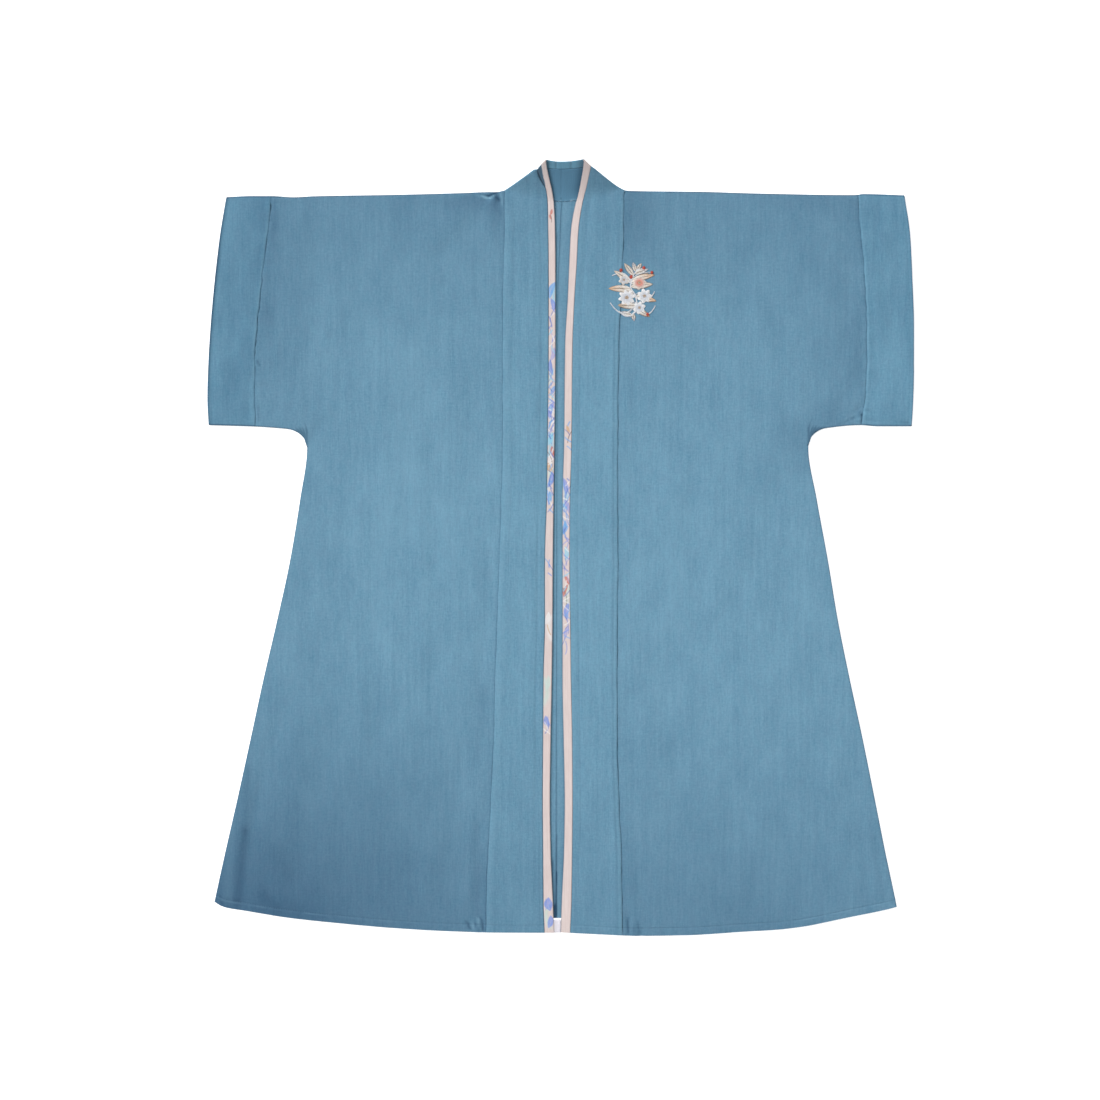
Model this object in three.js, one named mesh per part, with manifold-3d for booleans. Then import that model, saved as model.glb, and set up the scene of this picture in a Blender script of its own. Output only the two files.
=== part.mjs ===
// A hanfu jacket with straight fronts and half sleeves, laid flat on its back.
// Millimetres. +Y runs towards the neck, +X to the right as seen from above, and the cloth's underside
// lies on z = 0. "Left" and "right" are as seen from above.
// Each piece is a wall of cloth: a grid of points given a thickness. The front layer lies over the back
// layer, and both turn into each other at the shoulder, under the arm and down the side.
import * as THREE from "three";
import Module from "manifold-3d";
import { mergeVertices } from "three/addons/utils/BufferGeometryUtils.js";

// Walls and gaps
const BODY_CLOTH = 1.2;
const CUFF_CLOTH = 1.5;
const BAND_CLOTH = 2.0;
const EDGING_CLOTH = 2.2;
const LAYER_GAP = 0.3;
const SEAM_GAP = 0.3;
const FOLD_INSET = 1.25; // share of the wall between a folded edge and the last flat point of its layers

// How the front layer stands off the back
const AIR = 1.7; // in the middle of the cloth
const AIR_REACH = 32; // distance from a closed edge over which it rises
const HEM_AIR = 0.3; // share of it that is left at the hem, where the front settles
const NECK_AIR = 2.0; // added where the fronts lie on the back collar
const NECK_AIR_REACH = 45;

// Neck: the back collar stands up from its seam and leans away from the body
const NECK_RISE = 27;
const NECK_TOP = 520;
const NECK_LEAN = 1.4; // 1 is a straight ramp, more is a hollow one
const NECK_SEAM = { x: 3, y: 470, half: 79, dip: 15.5 };
const COLLAR_BACK = { x: 1.2, join: 510, free: 518.5 }; // at the centre back
const TILT_START = 330; // from here up, the collar's cross lines turn towards the shoulder fold

// Centre back seam and back hem
const CENTRE_BACK = [
  { y: -503, x: -6 },
  { y: 10, x: -4.5 },
  { y: 200, x: -2 },
  { y: 397, x: 0.5 },
  { y: 470, x: 1.5 },
];
const BACK_HEM_CENTRE = -503;

// Left half: rows across the front from the hem up, and the edges round it
const LEFT = {
  name: "left",
  out: -1,
  front: [
    { y: -521, side: -478, seam: -101, join: -24, free: -8 },
    { y: -480, side: -469.5, seam: -100.5, join: -25.5, free: -9.5 },
    { y: -411, side: -454.5, seam: -98, join: -26, free: -12.5 },
    { y: -343, side: -439, seam: -94.5, join: -26.5, free: -13.5 },
    { y: -261, side: -421, seam: -90.5, join: -26, free: -12.5 },
    { y: -180, side: -403.5, seam: -88.5, join: -25.5, free: -11 },
    { y: -98, side: -384.5, seam: -86, join: -23.5, free: -10 },
    { y: -17, side: -367, seam: -83, join: -23.5, free: -9.5 },
    { y: 65, side: -353.5, seam: -80.5, join: -21, free: -8.5 },
    { y: 136, side: -344, seam: -78.5, join: -20, free: -7.5 },
    { y: 275, side: -344, seam: -78.5, join: -18.5, free: -6 },
    { y: 383, side: -344, seam: -77.5, join: -18.5, free: -6 },
    { y: 431, side: -344, seam: -76, join: -19, free: -6.5 },
    { y: 465, side: -344, seam: -76, join: -19.5, free: -8 },
    { y: 485, side: -344, seam: -75.5, join: -21.5, free: -10 },
    { y: 503, side: -344, seam: -75.5, join: -26.5, free: -14.5 },
    { y: 512, side: -344, seam: -75.5, join: -29.5, free: -17 },
    { y: 521, side: -344, seam: -75.5, join: -30, free: -19.5 },
  ],
  sleeve: [
    { y: 164, end: -477.5, seam: -413 },
    { y: 200, end: -479, seam: -415.5 },
    { y: 241, end: -478, seam: -415 },
    { y: 302, end: -474.5, seam: -412 },
    { y: 363, end: -469, seam: -406 },
    { y: 424, end: -462, seam: -398 },
    { y: 477, end: -453.5, seam: -391.5 },
  ],
  top: [
    { x: -455, y: 476 },
    { x: -420, y: 478 },
    { x: -354, y: 477 },
    { x: -218, y: 479 },
    { x: -136, y: 481.5 },
    { x: -98, y: 483.5 },
    { x: -75, y: 485 },
  ],
  under: [
    { x: -478, y: 166 },
    { x: -413, y: 164 },
    { x: -344, y: 158.5 },
  ],
  hem: [
    { x: -470, y: -481 },
    { x: -456.5, y: -488 },
    { x: -424, y: -493.5 },
    { x: -370, y: -501.5 },
    { x: -292, y: -509.5 },
    { x: -231, y: -515 },
    { x: -150, y: -520 },
    { x: -55, y: -522 },
    { x: -8, y: -521 },
  ],
  armpit: { x: -344, run: 28, drop: 23 },
  shoulderSag: 1,
  join: 511.5, // height on the shoulder fold of the edging's join and of its free edge
  free: 521,
};

const RIGHT = {
  name: "right",
  out: 1,
  front: [
    { y: -527, side: 464, seam: 84.5, join: 13.5, free: -1.5 },
    { y: -480, side: 455, seam: 84, join: 15.5, free: 0 },
    { y: -411, side: 440.5, seam: 82.5, join: 16.5, free: 3 },
    { y: -343, side: 427, seam: 79.5, join: 17, free: 4 },
    { y: -261, side: 410.5, seam: 77, join: 16.5, free: 2.5 },
    { y: -180, side: 393, seam: 77, join: 15, free: 1 },
    { y: -98, side: 376.5, seam: 77.5, join: 14, free: 1 },
    { y: -17, side: 363, seam: 78, join: 13, free: 1 },
    { y: 65, side: 348, seam: 78, join: 13.5, free: 1 },
    { y: 136, side: 336.5, seam: 78, join: 15.5, free: 3 },
    { y: 275, side: 336.5, seam: 79.5, join: 17, free: 4.5 },
    { y: 336, side: 336.5, seam: 81.5, join: 19.5, free: 8 },
    { y: 383, side: 336.5, seam: 84, join: 22.5, free: 10 },
    { y: 431, side: 336.5, seam: 85.5, join: 25, free: 12.5 },
    { y: 465, side: 336.5, seam: 85.5, join: 30, free: 17.5 },
    { y: 485, side: 336.5, seam: 83.5, join: 35, free: 22 },
    { y: 503, side: 336.5, seam: 83.5, join: 39, free: 26.5 },
    { y: 512, side: 336.5, seam: 83.5, join: 42, free: 29 },
    { y: 521, side: 336.5, seam: 83.5, join: 43, free: 30.5 },
  ],
  sleeve: [
    { y: 164, end: 476.5, seam: 407 },
    { y: 200, end: 478.5, seam: 412 },
    { y: 241, end: 479.5, seam: 414.5 },
    { y: 302, end: 479.5, seam: 412.5 },
    { y: 363, end: 477.5, seam: 409.5 },
    { y: 424, end: 474.5, seam: 405 },
    { y: 477, end: 467, seam: 401 },
  ],
  top: [
    { x: 83, y: 485.5 },
    { x: 95, y: 484 },
    { x: 189, y: 483.5 },
    { x: 271, y: 481 },
    { x: 396, y: 478.5 },
    { x: 468, y: 477 },
  ],
  under: [
    { x: 336, y: 159 },
    { x: 407, y: 166 },
    { x: 430, y: 164.5 },
    { x: 478, y: 164.5 },
  ],
  hem: [
    { x: -2, y: -522 },
    { x: 26, y: -523 },
    { x: 108, y: -526 },
    { x: 169, y: -526 },
    { x: 250, y: -521 },
    { x: 291, y: -518 },
    { x: 325, y: -515 },
    { x: 390, y: -502 },
    { x: 444, y: -491 },
    { x: 457, y: -487.5 },
  ],
  armpit: { x: 336.5, run: 25, drop: 21 },
  shoulderSag: 2.3,
  join: 512,
  free: 521,
};

// Soft folds of the front layer: from (x1, y1) to (x2, y2), half its width, and its height (troughs are negative)
const SOFT_FOLDS = [
  { x1: -389, y1: -250, x2: -437, y2: -484, half: 13, height: -1.1 }, // beside the left side seam
  { x1: 394, y1: -300, x2: 424, y2: -488, half: 13, height: -0.8 }, // beside the right side seam
  { x1: -230, y1: 190, x2: -205, y2: -110, half: 60, height: 0.9 }, // broad roll down the left front
  { x1: 215, y1: 150, x2: 240, y2: -160, half: 60, height: 0.6 }, // broad roll down the right front
  { x1: -110, y1: 476, x2: -160, y2: 430, half: 26, height: 0.9 }, // pull at the left shoulder
];

// Grid of the body: shares of the way across the sleeve, distances from the side, and steps down the cloth
const SLEEVE_SHARES = [0, 0.3, 0.6, 0.77, 0.89, 0.97, 1];
const SIDE_DISTANCES = [0, 20, 33, 46];
const PANEL_COLUMNS = 5;
const NECK_COLUMNS = 4;
const SLEEVE_STEPS = [0, 0.05, 0.12, 0.22, 0.36, 0.52, 0.68, 0.84, 1];
const SKIRT_ROWS = 9;
const BAND_COLUMNS = 3;
const HEM_TAIL = 15; // length of the left edging's turned tail

// Embroidered spray: its centre on the front, its thicknesses, and its parts in its own plan
const SPRAY = { x: 99, y: 347, leaf: 1.2, stem: 1.5, petal: 1.8, berry: 2.2, heart: 2.6, smallest: 0.05 };
const SPRAY_STEM = [
  { x: -3, y: -37, half: 0.8 },
  { x: 6, y: -24, half: 1.1 },
  { x: 3, y: -8, half: 1.2 },
  { x: -5, y: 8, half: 1.2 },
  { x: -2, y: 24, half: 1.0 },
  { x: 7, y: 36, half: 0.7 },
];
// "at" is the share of the way up the stem where a flower's twig, a leaf or a berry's twig starts
const SPRAY_FLOWERS = [
  { x: -10, y: -12, radius: 12.5, petals: 8, turn: 12, heart: 3.4, at: 0.3 },
  { x: 12, y: 6, radius: 9.5, petals: 6, turn: 0, heart: 2.8, at: 0.45 },
  { x: -13, y: 19, radius: 7, petals: 6, turn: 20, heart: 2.2, at: 0.68 },
];
const SPRAY_LEAVES = [
  { at: 0.05, length: 20, width: 6, turn: 168 },
  { at: 0.17, length: 22, width: 7, turn: -22 },
  { at: 0.24, length: 24, width: 7.5, turn: 14 },
  { at: 0.4, length: 27, width: 7, turn: -12 },
  { at: 0.58, length: 27, width: 7.5, turn: 172 },
  { at: 0.7, length: 31, width: 7, turn: 24 },
  { at: 0.82, length: 22, width: 6, turn: 136 },
  { at: 0.88, length: 21, width: 6, turn: 8 },
  { at: 0.99, length: 9, width: 4, turn: 60 },
];
const SPRAY_BERRIES = [
  { x: 18, y: -34, radius: 2.4, at: 0.12 },
  { x: 27, y: 27, radius: 2.2, at: 0.78 },
  { x: 18, y: 36, radius: 2.2, at: 0.9 },
  { x: -17, y: 33, radius: 2.2, at: 0.74 },
];

const wasm = await Module();
wasm.setup();

const lerp = THREE.MathUtils.lerp;
const clamp01 = (value) => THREE.MathUtils.clamp(value, 0, 1);

// A column of a table at some value of its key column: straight between rows, and beyond the ends
function read(rows, key, at, column) {
  const next = rows.findIndex((row, i) => i > 0 && row[key] >= at);
  const i = next < 0 ? rows.length - 1 : next;
  const [a, b] = [rows[i - 1], rows[i]];
  return lerp(a[column], b[column], (at - a[key]) / (b[key] - a[key]));
}

function distanceToSegment(x, y, a, b) {
  const [dx, dy] = [b.x - a.x, b.y - a.y];
  const share = clamp01(((x - a.x) * dx + (y - a.y) * dy) / (dx * dx + dy * dy));
  return Math.hypot(x - a.x - share * dx, y - a.y - share * dy);
}

function distanceToPath(x, y, path) {
  const legs = path.slice(1).map((b, i) => distanceToSegment(x, y, path[i], b));
  return Math.min(...legs);
}

// Edges in plan
const frontAt = (half, y, column) => read(half.front, "y", y, column);
const topAt = (half, x) => read(half.top, "x", x, "y");
const hemAt = (half, x) => read(half.hem, "x", x, "y");
const centreBackAt = (y) => read(CENTRE_BACK, "y", y, "x");

// The back neck seam dips from each shoulder to the centre back
function neckSeamAt(x) {
  const share = Math.min(1, Math.abs(x - NECK_SEAM.x) / NECK_SEAM.half);
  return NECK_SEAM.y + NECK_SEAM.dip * share * share;
}

// The back hem is a shallow arc that meets the front hem at the side
function backHemAt(half, x) {
  const corner = half.out < 0 ? half.hem[0] : half.hem.at(-1);
  return BACK_HEM_CENTRE + (corner.y - BACK_HEM_CENTRE) * (x / corner.x) ** 2;
}

// The sleeve's lower edge, rounded down into the side
function underArmAt(half, x) {
  const { armpit } = half;
  const share = clamp01(1 - Math.abs(x - armpit.x) / armpit.run);
  return read(half.under, "x", x, "y") - armpit.drop * (1 - Math.sqrt(1 - share * share));
}

const shoulderPoint = (half) => {
  const x = frontAt(half, 485, "seam");
  return { x, y: topAt(half, x) };
};
const collarPeak = (half) => ({ x: frontAt(half, half.free, "free"), y: half.free });

// The closed edges of one half: the shoulder line, and the underarm with the side
function closedPaths(half) {
  const endX = half.sleeve.at(-1).end;
  const corner = { x: frontAt(half, -480, "side"), y: -480 };
  return [
    [{ x: endX, y: topAt(half, endX) }, shoulderPoint(half)],
    [
      { x: half.sleeve[0].end, y: half.sleeve[0].y },
      { x: half.armpit.x, y: underArmAt(half, half.armpit.x) },
      corner,
    ],
  ];
}
const CLOSED = new Map([LEFT, RIGHT].map((half) => [half, closedPaths(half)]));

function softFolds(x, y) {
  let height = 0;
  for (const fold of SOFT_FOLDS) {
    const away = distanceToSegment(x, y, { x: fold.x1, y: fold.y1 }, { x: fold.x2, y: fold.y2 });
    height += fold.height * Math.exp(-((away / fold.half) ** 2));
  }
  return height;
}

// Height of the leaning back collar over the floor
function neckRise(x, y) {
  const seam = neckSeamAt(x);
  const share = Math.max(0, (y - seam) / (NECK_TOP - seam));
  return NECK_RISE * share ** NECK_LEAN;
}

// How far the front layer is lifted at a point of the plan
function frontLift(half, x, y) {
  const away = Math.min(...CLOSED.get(half).map((path) => distanceToPath(x, y, path)));
  const settled = (1 - HEM_AIR) * Math.exp(-Math.max(0, y - hemAt(half, x)) / AIR_REACH);
  const open = (1 - Math.exp(-away / AIR_REACH)) * (1 - settled);
  const nearNeck = distanceToSegment(x, y, shoulderPoint(half), collarPeak(half)) / NECK_AIR_REACH;
  const neckAir = NECK_AIR * Math.exp(-nearNeck * nearNeck);
  return AIR * open + softFolds(x, y) * open + neckAir + neckRise(x, y);
}

// A wall of cloth: points with an outward direction, and quads that run counter-clockwise seen from outside
class Cloth {
  constructor(wall) {
    this.wall = wall;
    this.places = [];
    this.normals = [];
    this.quads = [];
  }

  point(place, normal) {
    this.places.push(place);
    this.normals.push(normal.normalize());
    return this.places.length - 1;
  }

  // One layer: a grid of plan points at their heights, facing up (1) or down (-1); returns its point numbers
  layer(grid, facing) {
    const numbers = new Map();
    const number = (c, r) => {
      const key = `${c},${r}`;
      if (!numbers.has(key)) {
        const plan = grid.plan(c, r);
        numbers.set(key, this.point(grid.lift(plan), grid.slope(plan).multiplyScalar(facing)));
      }
      return numbers.get(key);
    };
    for (let c = 0; c < grid.columns; c++) {
      for (let r = 0; r < grid.rows; r++) {
        if (!grid.has(c, r)) continue;
        const quad = [number(c, r), number(c, r + 1), number(c + 1, r + 1), number(c + 1, r)];
        const [a, b, d] = [quad[0], quad[1], quad[3]].map((i) => this.places[i]);
        const turn = (b.x - a.x) * (d.y - a.y) - (b.y - a.y) * (d.x - a.x);
        this.quads.push(turn * facing > 0 ? quad : quad.reverse());
      }
    }
    return number;
  }

  // The rounded edge where two layers turn into each other, through the fold points between them
  turn(upper, folds, lower) {
    const used = new Set(this.quads.flatMap((q) => q.map((from, i) => `${from},${q[(i + 1) % 4]}`)));
    for (let i = 0; i + 1 < folds.length; i++) {
      const forward = used.has(`${upper[i]},${upper[i + 1]}`);
      const [p, q] = forward ? [i, i + 1] : [i + 1, i];
      this.quads.push([upper[q], upper[p], folds[p], folds[q]]);
      this.quads.push([folds[q], folds[p], lower[p], lower[q]]);
    }
  }

  geometry() {
    const count = this.places.length;
    const vertices = [1, -1].flatMap((side) =>
      this.places.flatMap((place, i) => {
        const moved = place.clone().addScaledVector(this.normals[i], (side * this.wall) / 2);
        return moved.toArray();
      }),
    );
    const faces = [];
    const face = (a, b, c, d) => faces.push(a, b, c, a, c, d);
    const edges = new Set();
    for (const quad of this.quads) {
      const [a, b, c, d] = quad;
      face(a, b, c, d);
      face(d + count, c + count, b + count, a + count);
      quad.forEach((from, i) => edges.add(`${from},${quad[(i + 1) % 4]}`));
    }
    for (const edge of edges) {
      const [from, to] = edge.split(",").map(Number);
      if (!edges.has(`${to},${from}`)) face(to, from, from + count, to + count);
    }
    const geometry = new THREE.BufferGeometry();
    geometry.setAttribute("position", new THREE.Float32BufferAttribute(vertices, 3));
    geometry.setIndex(faces);
    geometry.computeVertexNormals();
    return geometry;
  }
}

// Gives a grid its heights: a height function of the plan, and the upward direction from its slope
function withHeights(grid, heightAt) {
  const step = 0.5;
  return {
    ...grid,
    lift: (p) => new THREE.Vector3(p.x, p.y, heightAt(p.x, p.y)),
    slope: (p) =>
      new THREE.Vector3(
        heightAt(p.x - step, p.y) - heightAt(p.x + step, p.y),
        heightAt(p.x, p.y - step) - heightAt(p.x, p.y + step),
        2 * step,
      ),
  };
}

// Outward directions in plan along a folded edge
function outwardAlong(path, inside) {
  const [a, b] = path;
  const side = (b.x - a.x) * (inside.y - a.y) - (b.y - a.y) * (inside.x - a.x);
  const turn = Math.sign(side);
  return path.map((_, i) => {
    const before = path[Math.max(i - 1, 0)];
    const after = path[Math.min(i + 1, path.length - 1)];
    const along = new THREE.Vector2(after.x - before.x, after.y - before.y).normalize();
    return new THREE.Vector2(along.y * turn, -along.x * turn);
  });
}

// Cloth of two layers that meet along folded edges. Each edge is a list of pairs of grid points. A fold that
// two pieces share is given one outward direction, so that they stay side by side.
function foldedCloth({ wall, front, back, frontHeight, backHeight, edges, inside, shared }) {
  const moved = [new Map(), new Map()];
  const folds = edges.map((edge) => {
    const path = edge.map(({ upper }) => front.plan(...upper));
    const outward = shared ? path.map(() => shared) : outwardAlong(path, inside);
    return path.map((p, i) => {
      const inset = (share) => ({
        x: p.x - outward[i].x * wall * share,
        y: p.y - outward[i].y * wall * share,
      });
      moved[0].set(edge[i].upper.join(), inset(FOLD_INSET));
      moved[1].set(edge[i].lower.join(), inset(FOLD_INSET));
      return { plan: inset(0.5), outward: outward[i] };
    });
  });
  const limit = back.limit ?? ((p) => p);
  const insetFront = { ...front, plan: (c, r) => moved[0].get(`${c},${r}`) ?? front.plan(c, r) };
  const insetBack = {
    ...back,
    plan: (c, r) => limit(moved[1].get(`${c},${r}`) ?? back.plan(c, r)),
  };
  const cloth = new Cloth(wall);
  const upperGrid = withHeights(insetFront, frontHeight);
  const upper = cloth.layer(upperGrid, 1);
  const lower = cloth.layer(withHeights(insetBack, backHeight), -1);
  edges.forEach((edge, e) => {
    const middle = folds[e].map(({ plan, outward }) => {
      const z = (frontHeight(plan.x, plan.y) + backHeight(plan.x, plan.y)) / 2;
      const up = upperGrid.slope(plan).normalize();
      const climb = -(up.x * outward.x + up.y * outward.y) / up.z;
      const normal = new THREE.Vector3(outward.x, outward.y, climb);
      return cloth.point(new THREE.Vector3(plan.x, plan.y, z), normal);
    });
    cloth.turn(
      edge.map((pair) => upper(...pair.upper)),
      middle,
      edge.map((pair) => lower(...pair.lower)),
    );
  });
  return cloth.geometry();
}

// Middle heights of a wall that lies in the front layer or on the floor
const frontHeightOf = (half, wall, under) => (x, y) =>
  under + LAYER_GAP + wall / 2 + frontLift(half, x, y);

// Body
const SLEEVE_COLUMNS = SLEEVE_SHARES.length - 1;
const SEAM_COLUMN = SLEEVE_COLUMNS + SIDE_DISTANCES.length - 1 + PANEL_COLUMNS;
const SLEEVE_ROWS = SLEEVE_STEPS.length - 1;
const BODY_ROWS = SLEEVE_ROWS + SKIRT_ROWS;

// The way from the top of a column to the armpit's level, then on to the hem
function heightInPlan(row, top, armpit, hem) {
  if (row <= SLEEVE_ROWS) return lerp(top, armpit, SLEEVE_STEPS[row]);
  return lerp(armpit, hem, (row - SLEEVE_ROWS) / SKIRT_ROWS);
}

// The seam of the sleeve band, at the body's rows
function cuffSeamPoint(half, row) {
  const column = half.sleeve;
  const guess = lerp(column.at(-1).y, column[0].y, SLEEVE_STEPS[row]);
  const x = read(column, "y", guess, "seam");
  return { x, y: lerp(topAt(half, x), underArmAt(half, x), SLEEVE_STEPS[row]) };
}

// A point of the collar seam, at the body's rows
function collarSeamPoint(half, row) {
  const shoulder = shoulderPoint(half);
  const armpit = underArmAt(half, half.armpit.x);
  const hem = hemAt(half, frontAt(half, -520, "seam"));
  const y = heightInPlan(row, shoulder.y, armpit, hem);
  return { x: frontAt(half, y, "seam"), y };
}

// The back neck seam, from the shoulder to the centre back
function neckSeamPoint(half, column) {
  const x = lerp(shoulderPoint(half).x, centreBackAt(NECK_SEAM.y), column / NECK_COLUMNS);
  return { x, y: neckSeamAt(x) };
}

function bodyPlan(half, hemOf) {
  const armpitY = underArmAt(half, half.armpit.x);
  const gap = SEAM_GAP / 2;
  const sleevePoint = (column, row) => {
    const seam = cuffSeamPoint(half, row);
    const x = lerp(seam.x - half.out * gap, half.armpit.x, SLEEVE_SHARES[column]);
    return { x, y: lerp(topAt(half, x), underArmAt(half, x), SLEEVE_STEPS[row]) };
  };
  const panelX = (column, y) => {
    const side = frontAt(half, y, "side");
    const last = SIDE_DISTANCES.length - 1;
    if (column <= last) return side - half.out * SIDE_DISTANCES[column];
    const start = side - half.out * SIDE_DISTANCES[last];
    const seam = frontAt(half, y, "seam") + half.out * gap;
    return lerp(start, seam, (column - last) / PANEL_COLUMNS);
  };
  const panelPoint = (column, row) => {
    const roughX = panelX(column, row > SLEEVE_ROWS ? -300 : 300);
    const y = heightInPlan(row, topAt(half, roughX), armpitY, hemOf(half, roughX));
    const x = panelX(column, y);
    return { x, y: heightInPlan(row, topAt(half, x), armpitY, hemOf(half, x)) };
  };
  const backPoint = (column, row) => {
    const top = neckSeamPoint(half, column);
    const guess = heightInPlan(row, top.y - gap, armpitY, BACK_HEM_CENTRE);
    const centre = centreBackAt(guess) + half.out * gap;
    const x = row ? lerp(frontAt(half, guess, "seam"), centre, column / NECK_COLUMNS) : top.x;
    const edge = column === NECK_COLUMNS && !row ? half.out * gap : 0;
    return { x: x + edge, y: heightInPlan(row, top.y - gap, armpitY, backHemAt(half, x)) };
  };
  return (column, row) => {
    if (column < SLEEVE_COLUMNS) return sleevePoint(column, row);
    if (column < SEAM_COLUMN) return panelPoint(column - SLEEVE_COLUMNS, row);
    if (column > SEAM_COLUMN) return backPoint(column - SEAM_COLUMN, row);
    const seam = collarSeamPoint(half, row);
    const y = row === BODY_ROWS ? hemOf(half, seam.x) : seam.y;
    return { x: seam.x + half.out * gap, y };
  };
}

function bodyHas(columns) {
  return (column, row) =>
    column < SLEEVE_COLUMNS ? row < SLEEVE_ROWS : column < columns && row < BODY_ROWS;
}

function body(half) {
  const backColumns = SEAM_COLUMN + NECK_COLUMNS;
  const pair = (column, row) => ({ upper: [column, row], lower: [column, row] });
  const shoulder = [];
  for (let c = 0; c <= SEAM_COLUMN; c++) shoulder.push(pair(c, 0));
  const underSide = [];
  for (let c = 0; c < SLEEVE_COLUMNS; c++) underSide.push(pair(c, SLEEVE_ROWS));
  for (let r = SLEEVE_ROWS; r <= BODY_ROWS; r++) underSide.push(pair(SLEEVE_COLUMNS, r));
  return foldedCloth({
    wall: BODY_CLOTH,
    front: {
      columns: SEAM_COLUMN,
      rows: BODY_ROWS,
      has: bodyHas(SEAM_COLUMN),
      plan: bodyPlan(half, hemAt),
    },
    back: {
      columns: backColumns,
      rows: BODY_ROWS,
      has: bodyHas(backColumns),
      plan: bodyPlan(half, backHemAt),
    },
    frontHeight: frontHeightOf(half, BODY_CLOTH, BODY_CLOTH),
    backHeight: () => BODY_CLOTH / 2,
    edges: [shoulder, underSide],
    inside: { x: half.out * 200, y: 300 },
  });
}

// Sleeve band: a flat ring, open at the sleeve's end and at its seam
const CUFF_COLUMNS = 2;

function cuff(half) {
  const plan = (column, row) => {
    const seam = cuffSeamPoint(half, row);
    const seamX = seam.x + half.out * (SEAM_GAP / 2);
    const x = lerp(seamX, read(half.sleeve, "y", seam.y, "end"), column / CUFF_COLUMNS);
    return { x, y: lerp(topAt(half, x), underArmAt(half, x), SLEEVE_STEPS[row]) };
  };
  const grid = { columns: CUFF_COLUMNS, rows: SLEEVE_ROWS, has: () => true, plan };
  const edge = (row) =>
    Array.from({ length: CUFF_COLUMNS + 1 }, (_, c) => ({ upper: [c, row], lower: [c, row] }));
  return foldedCloth({
    wall: CUFF_CLOTH,
    front: grid,
    back: grid,
    frontHeight: frontHeightOf(half, CUFF_CLOTH, CUFF_CLOTH),
    backHeight: () => CUFF_CLOTH / 2,
    edges: [edge(0), edge(SLEEVE_ROWS)],
    inside: { x: half.out * 440, y: 300 },
  });
}

// Collar lines at the body's rows: the join with the edging and the free edge run ahead of the seam near
// the shoulder, so that the last cross line is the shoulder fold
function collarLinePoint(half, row, column) {
  const seam = collarSeamPoint(half, row);
  const shoulder = shoulderPoint(half);
  const share = THREE.MathUtils.smoothstep(seam.y, TILT_START, shoulder.y);
  const ahead = share * (half[column] - shoulder.y);
  const below = frontAt(half, seam.y + ahead, column);
  const hem = hemAt(half, below) - hemAt(half, seam.x);
  const y = seam.y + ahead + (row === BODY_ROWS ? hem : 0);
  return { x: frontAt(half, y, column), y };
}

// The same two lines round the back of the neck, from the shoulder fold to the centre back
function collarBackPoint(half, step, column) {
  const start = collarLinePoint(half, 0, column);
  const share = step / NECK_COLUMNS;
  return {
    x: lerp(start.x, COLLAR_BACK.x, share),
    y: lerp(start.y, COLLAR_BACK[column], 1 - (1 - share) ** 2),
  };
}

function mix(a, b, share) {
  return { x: lerp(a.x, b.x, share), y: lerp(a.y, b.y, share) };
}

// The shoulder fold's direction down to the seam, and the direction away from the cloth square to it
function shoulderAlong(half) {
  const [from, to] = [collarPeak(half), shoulderPoint(half)];
  return new THREE.Vector2(to.x - from.x, to.y - from.y).normalize();
}
function shoulderOutward(half) {
  const along = shoulderAlong(half);
  return new THREE.Vector2(-along.y, along.x).multiplyScalar(half.out);
}

// A point beside the join of collar and edging: side is 1 on the collar's side of it, -1 on the edging's
function besideJoin(half, row, join, side) {
  if (row) return { x: join.x + side * half.out * (SEAM_GAP / 2), y: join.y };
  const along = shoulderAlong(half).multiplyScalar(side * SEAM_GAP);
  return { x: join.x + along.x, y: join.y + along.y };
}

function collar(half) {
  const gap = SEAM_GAP / 2;
  const frontPoint = (column, row) => {
    const seam = collarSeamPoint(half, row);
    const join = collarLinePoint(half, row, "join");
    const from = { x: seam.x - half.out * gap, y: seam.y };
    const p = mix(from, besideJoin(half, row, join, 1), column / BAND_COLUMNS);
    const share = column / BAND_COLUMNS;
    const sag = row ? 0 : 4 * share * (1 - share) * half.shoulderSag;
    return { x: p.x, y: p.y - sag };
  };
  const backPoint = (column, step) => {
    if (!step) return frontPoint(column, 0);
    const seam = neckSeamPoint(half, step);
    const join = collarBackPoint(half, step, "join");
    const p = mix({ x: seam.x, y: seam.y + gap }, { x: join.x, y: join.y - gap }, column / BAND_COLUMNS);
    return step < NECK_COLUMNS ? p : { x: COLLAR_BACK.x + half.out * gap, y: p.y };
  };
  const fold = Array.from({ length: BAND_COLUMNS + 1 }, (_, c) => ({ upper: [c, 0], lower: [c, 0] }));
  return foldedCloth({
    wall: BAND_CLOTH,
    front: { columns: BAND_COLUMNS, rows: BODY_ROWS, has: () => true, plan: frontPoint },
    back: {
      columns: BAND_COLUMNS,
      rows: NECK_COLUMNS,
      has: () => true,
      plan: backPoint,
      limit: (p) => ({ x: p.x, y: Math.max(p.y, neckSeamAt(p.x) + gap) }),
    },
    frontHeight: frontHeightOf(half, BAND_CLOTH, BODY_CLOTH),
    backHeight: (x, y) => BAND_CLOTH / 2 + neckRise(x, y),
    edges: [fold],
    shared: shoulderOutward(half),
  });
}

// Printed edging along the collar's free edge. It has one more row than the collar, just above the hem,
// where the left one's tail turns across under the other.
const HEM_ROW = BODY_ROWS + 1;

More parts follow.
